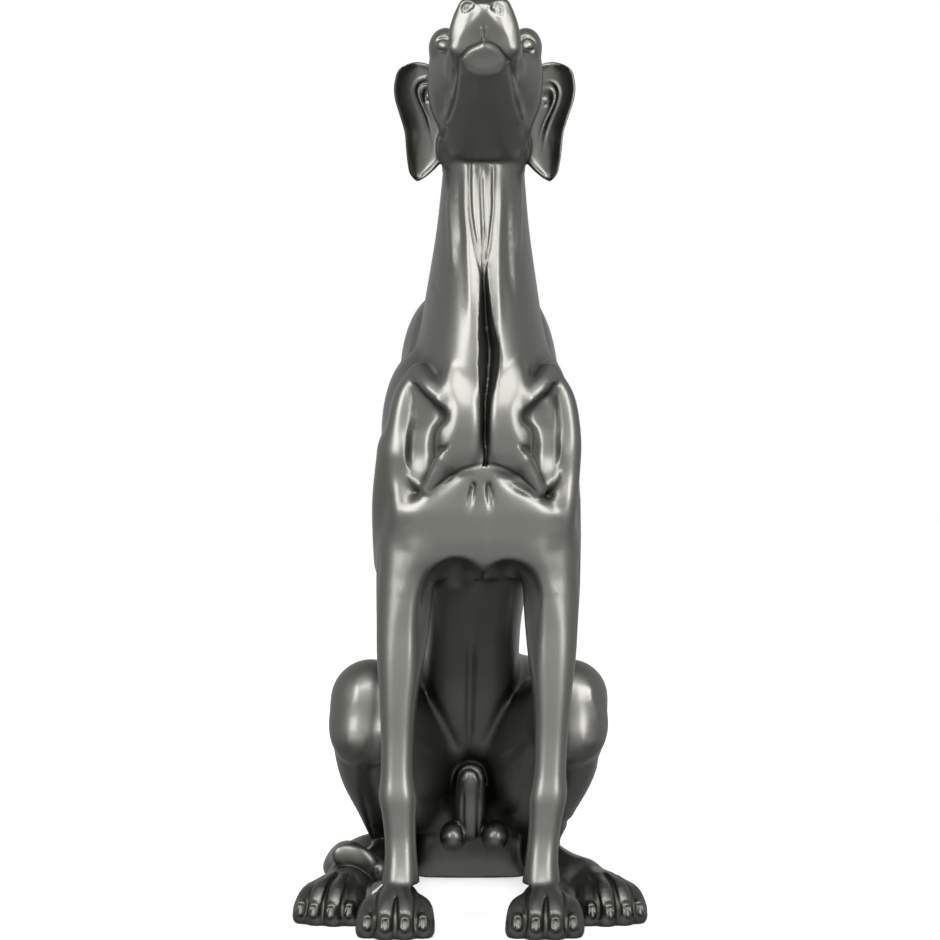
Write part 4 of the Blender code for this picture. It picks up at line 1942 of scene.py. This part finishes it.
@dataclass(frozen=True)
class Softbox:
    """A softbox that points at the figure.

    Attributes:
        name: Its name.
        place: Where it hangs, in metres.
        size: Its width and height.
        watts: Its power.
        aim: What it points at.
    """

    name: str
    place: Point
    size: Point
    watts: float
    aim: Point = (0, 0, 0.5)

    def hang(self) -> bpy.types.Object:
        """Builds it in the scene.

        Returns:
            The light.
        """
        light = bpy.data.lights.new(self.name, "AREA")
        light.shape = "RECTANGLE"
        light.size, light.size_y = self.size
        light.energy = self.watts
        obj = bpy.data.objects.new(self.name, light)
        obj.location = self.place
        obj.rotation_euler = (Vector(self.aim) - Vector(self.place)).to_track_quat("-Z", "Y").to_euler()
        bpy.context.scene.collection.objects.link(obj)
        return obj


@dataclass
class Studio:
    """Floor, lights and camera.

    Attributes:
        sight: The camera's place.
        ahead: How much brighter the room is ahead of the statue.
        above: How much brighter it is ahead and above.
        behind: How bright its walls are.
        below: How much light comes from beneath.
        softboxes: Its softboxes.
        reach: How far the floor reaches each way, in metres.
        sensor: Width of the camera's sensor, in mm.
    """

    sight: Sight = field(default_factory=Sight)
    ahead: float = 0.44
    above: float = 0.8
    behind: float = 0.26
    below: float = 0.16
    softboxes: Sequence[Softbox] = (
        Softbox("left_softbox", (-1.65, -1.65, 1.35), (1.0, 1.7), 33),
        Softbox("right_softbox", (1.55, -1.75, 1.35), (0.8, 1.7), 28),
        Softbox("overhead_softbox", (0, -1.9, 2.15), (1.7, 0.9), 24, (0, 0, 0.45)),
    )
    reach: float = 6.0
    sensor: float = 36.0

    def floor(self) -> bpy.types.Object:
        """Builds the floor.

        Returns:
            The floor.
        """
        mesh = bpy.data.meshes.new("floor")
        corners = [(x * self.reach, y * self.reach, 0) for x, y in ((-1, -1), (1, -1), (1, 1), (-1, 1))]
        mesh.from_pydata(corners, [], [(0, 1, 2, 3)])
        mesh.materials.append(Paper().material())
        obj = bpy.data.objects.new("floor", mesh)
        bpy.context.scene.collection.objects.link(obj)
        obj.visible_glossy = False
        return obj

    def lights(self) -> None:
        """Hangs the softboxes and sets the room's light."""
        for softbox in self.softboxes:
            softbox.hang()
        bpy.context.scene.view_settings.view_transform = "Standard"
        self.room()

    def room(self) -> None:
        """Sets the light of the room: pale ahead and above, dimmer behind, and a plain pale backdrop."""
        world = bpy.data.worlds.new("studio")
        tree = Nodes(world)
        way = tree.node("ShaderNodeTexCoord", {}, {}, "Generated")
        depth = tree.node("ShaderNodeSeparateXYZ", {}, {0: way}, "Y")
        height = Socket(tree, depth.socket.node.outputs["Z"])
        lamp = {0: way, 1: (0, -0.68, 0.73)}
        toward = tree.node("ShaderNodeVectorMath", {"operation": "DOT_PRODUCT"}, lamp, "Value")
        ahead = tree.remap(depth * -1, 0.0, 0.95, smooth=True)
        above = tree.remap(toward, 0.62, 1.0, smooth=True)
        rise = tree.remap(height, -0.7, 0.1, smooth=True)
        crown = tree.remap(height, 0.5, 1.0, smooth=True)
        walls = rise * (1.0 - crown * 0.7)
        strength = ahead * self.ahead + above * self.above + walls * self.behind + self.below
        seen = tree.node("ShaderNodeLightPath", {}, {}, "Is Camera Ray")
        white = (1, 1, 1, 1)
        room = tree.node("ShaderNodeBackground", {}, {"Color": white, "Strength": strength})
        backdrop = tree.node("ShaderNodeBackground", {}, {"Color": white, "Strength": 1.0})
        mix = tree.node("ShaderNodeMixShader", {}, {0: seen, 1: room, 2: backdrop})
        tree.put(tree.nodes["World Output"].inputs[0], mix)
        bpy.context.scene.world = world

    def camera(self) -> None:
        """Stands the camera at the photograph's viewing angle."""
        data = bpy.data.cameras.new("camera")
        data.sensor_width = self.sensor
        data.lens = self.sight.scale / self.sight.size * self.sensor
        camera = bpy.data.objects.new("camera", data)
        camera.location = [value / 1000 for value in self.sight.eye]
        tilt = math.atan((self.sight.size / 2 - self.sight.middle[1]) / self.sight.scale)
        camera.rotation_euler = (math.pi / 2 - tilt, 0, 0)
        bpy.context.scene.collection.objects.link(camera)
        bpy.context.scene.camera = camera

    def build(self) -> None:
        """Builds it all."""
        self.floor()
        self.lights()
        self.camera()


def main() -> None:
    """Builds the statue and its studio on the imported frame."""
    logging.basicConfig(level=logging.INFO, format="%(name)s: %(message)s")
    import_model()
    Studio().build()
    LOG.info("studio built")
    casting = Greyhound().build()
    LOG.info("%s built: %d triangles", casting.name, len(casting.data.polygons))


if __name__ == "__main__":
    main()
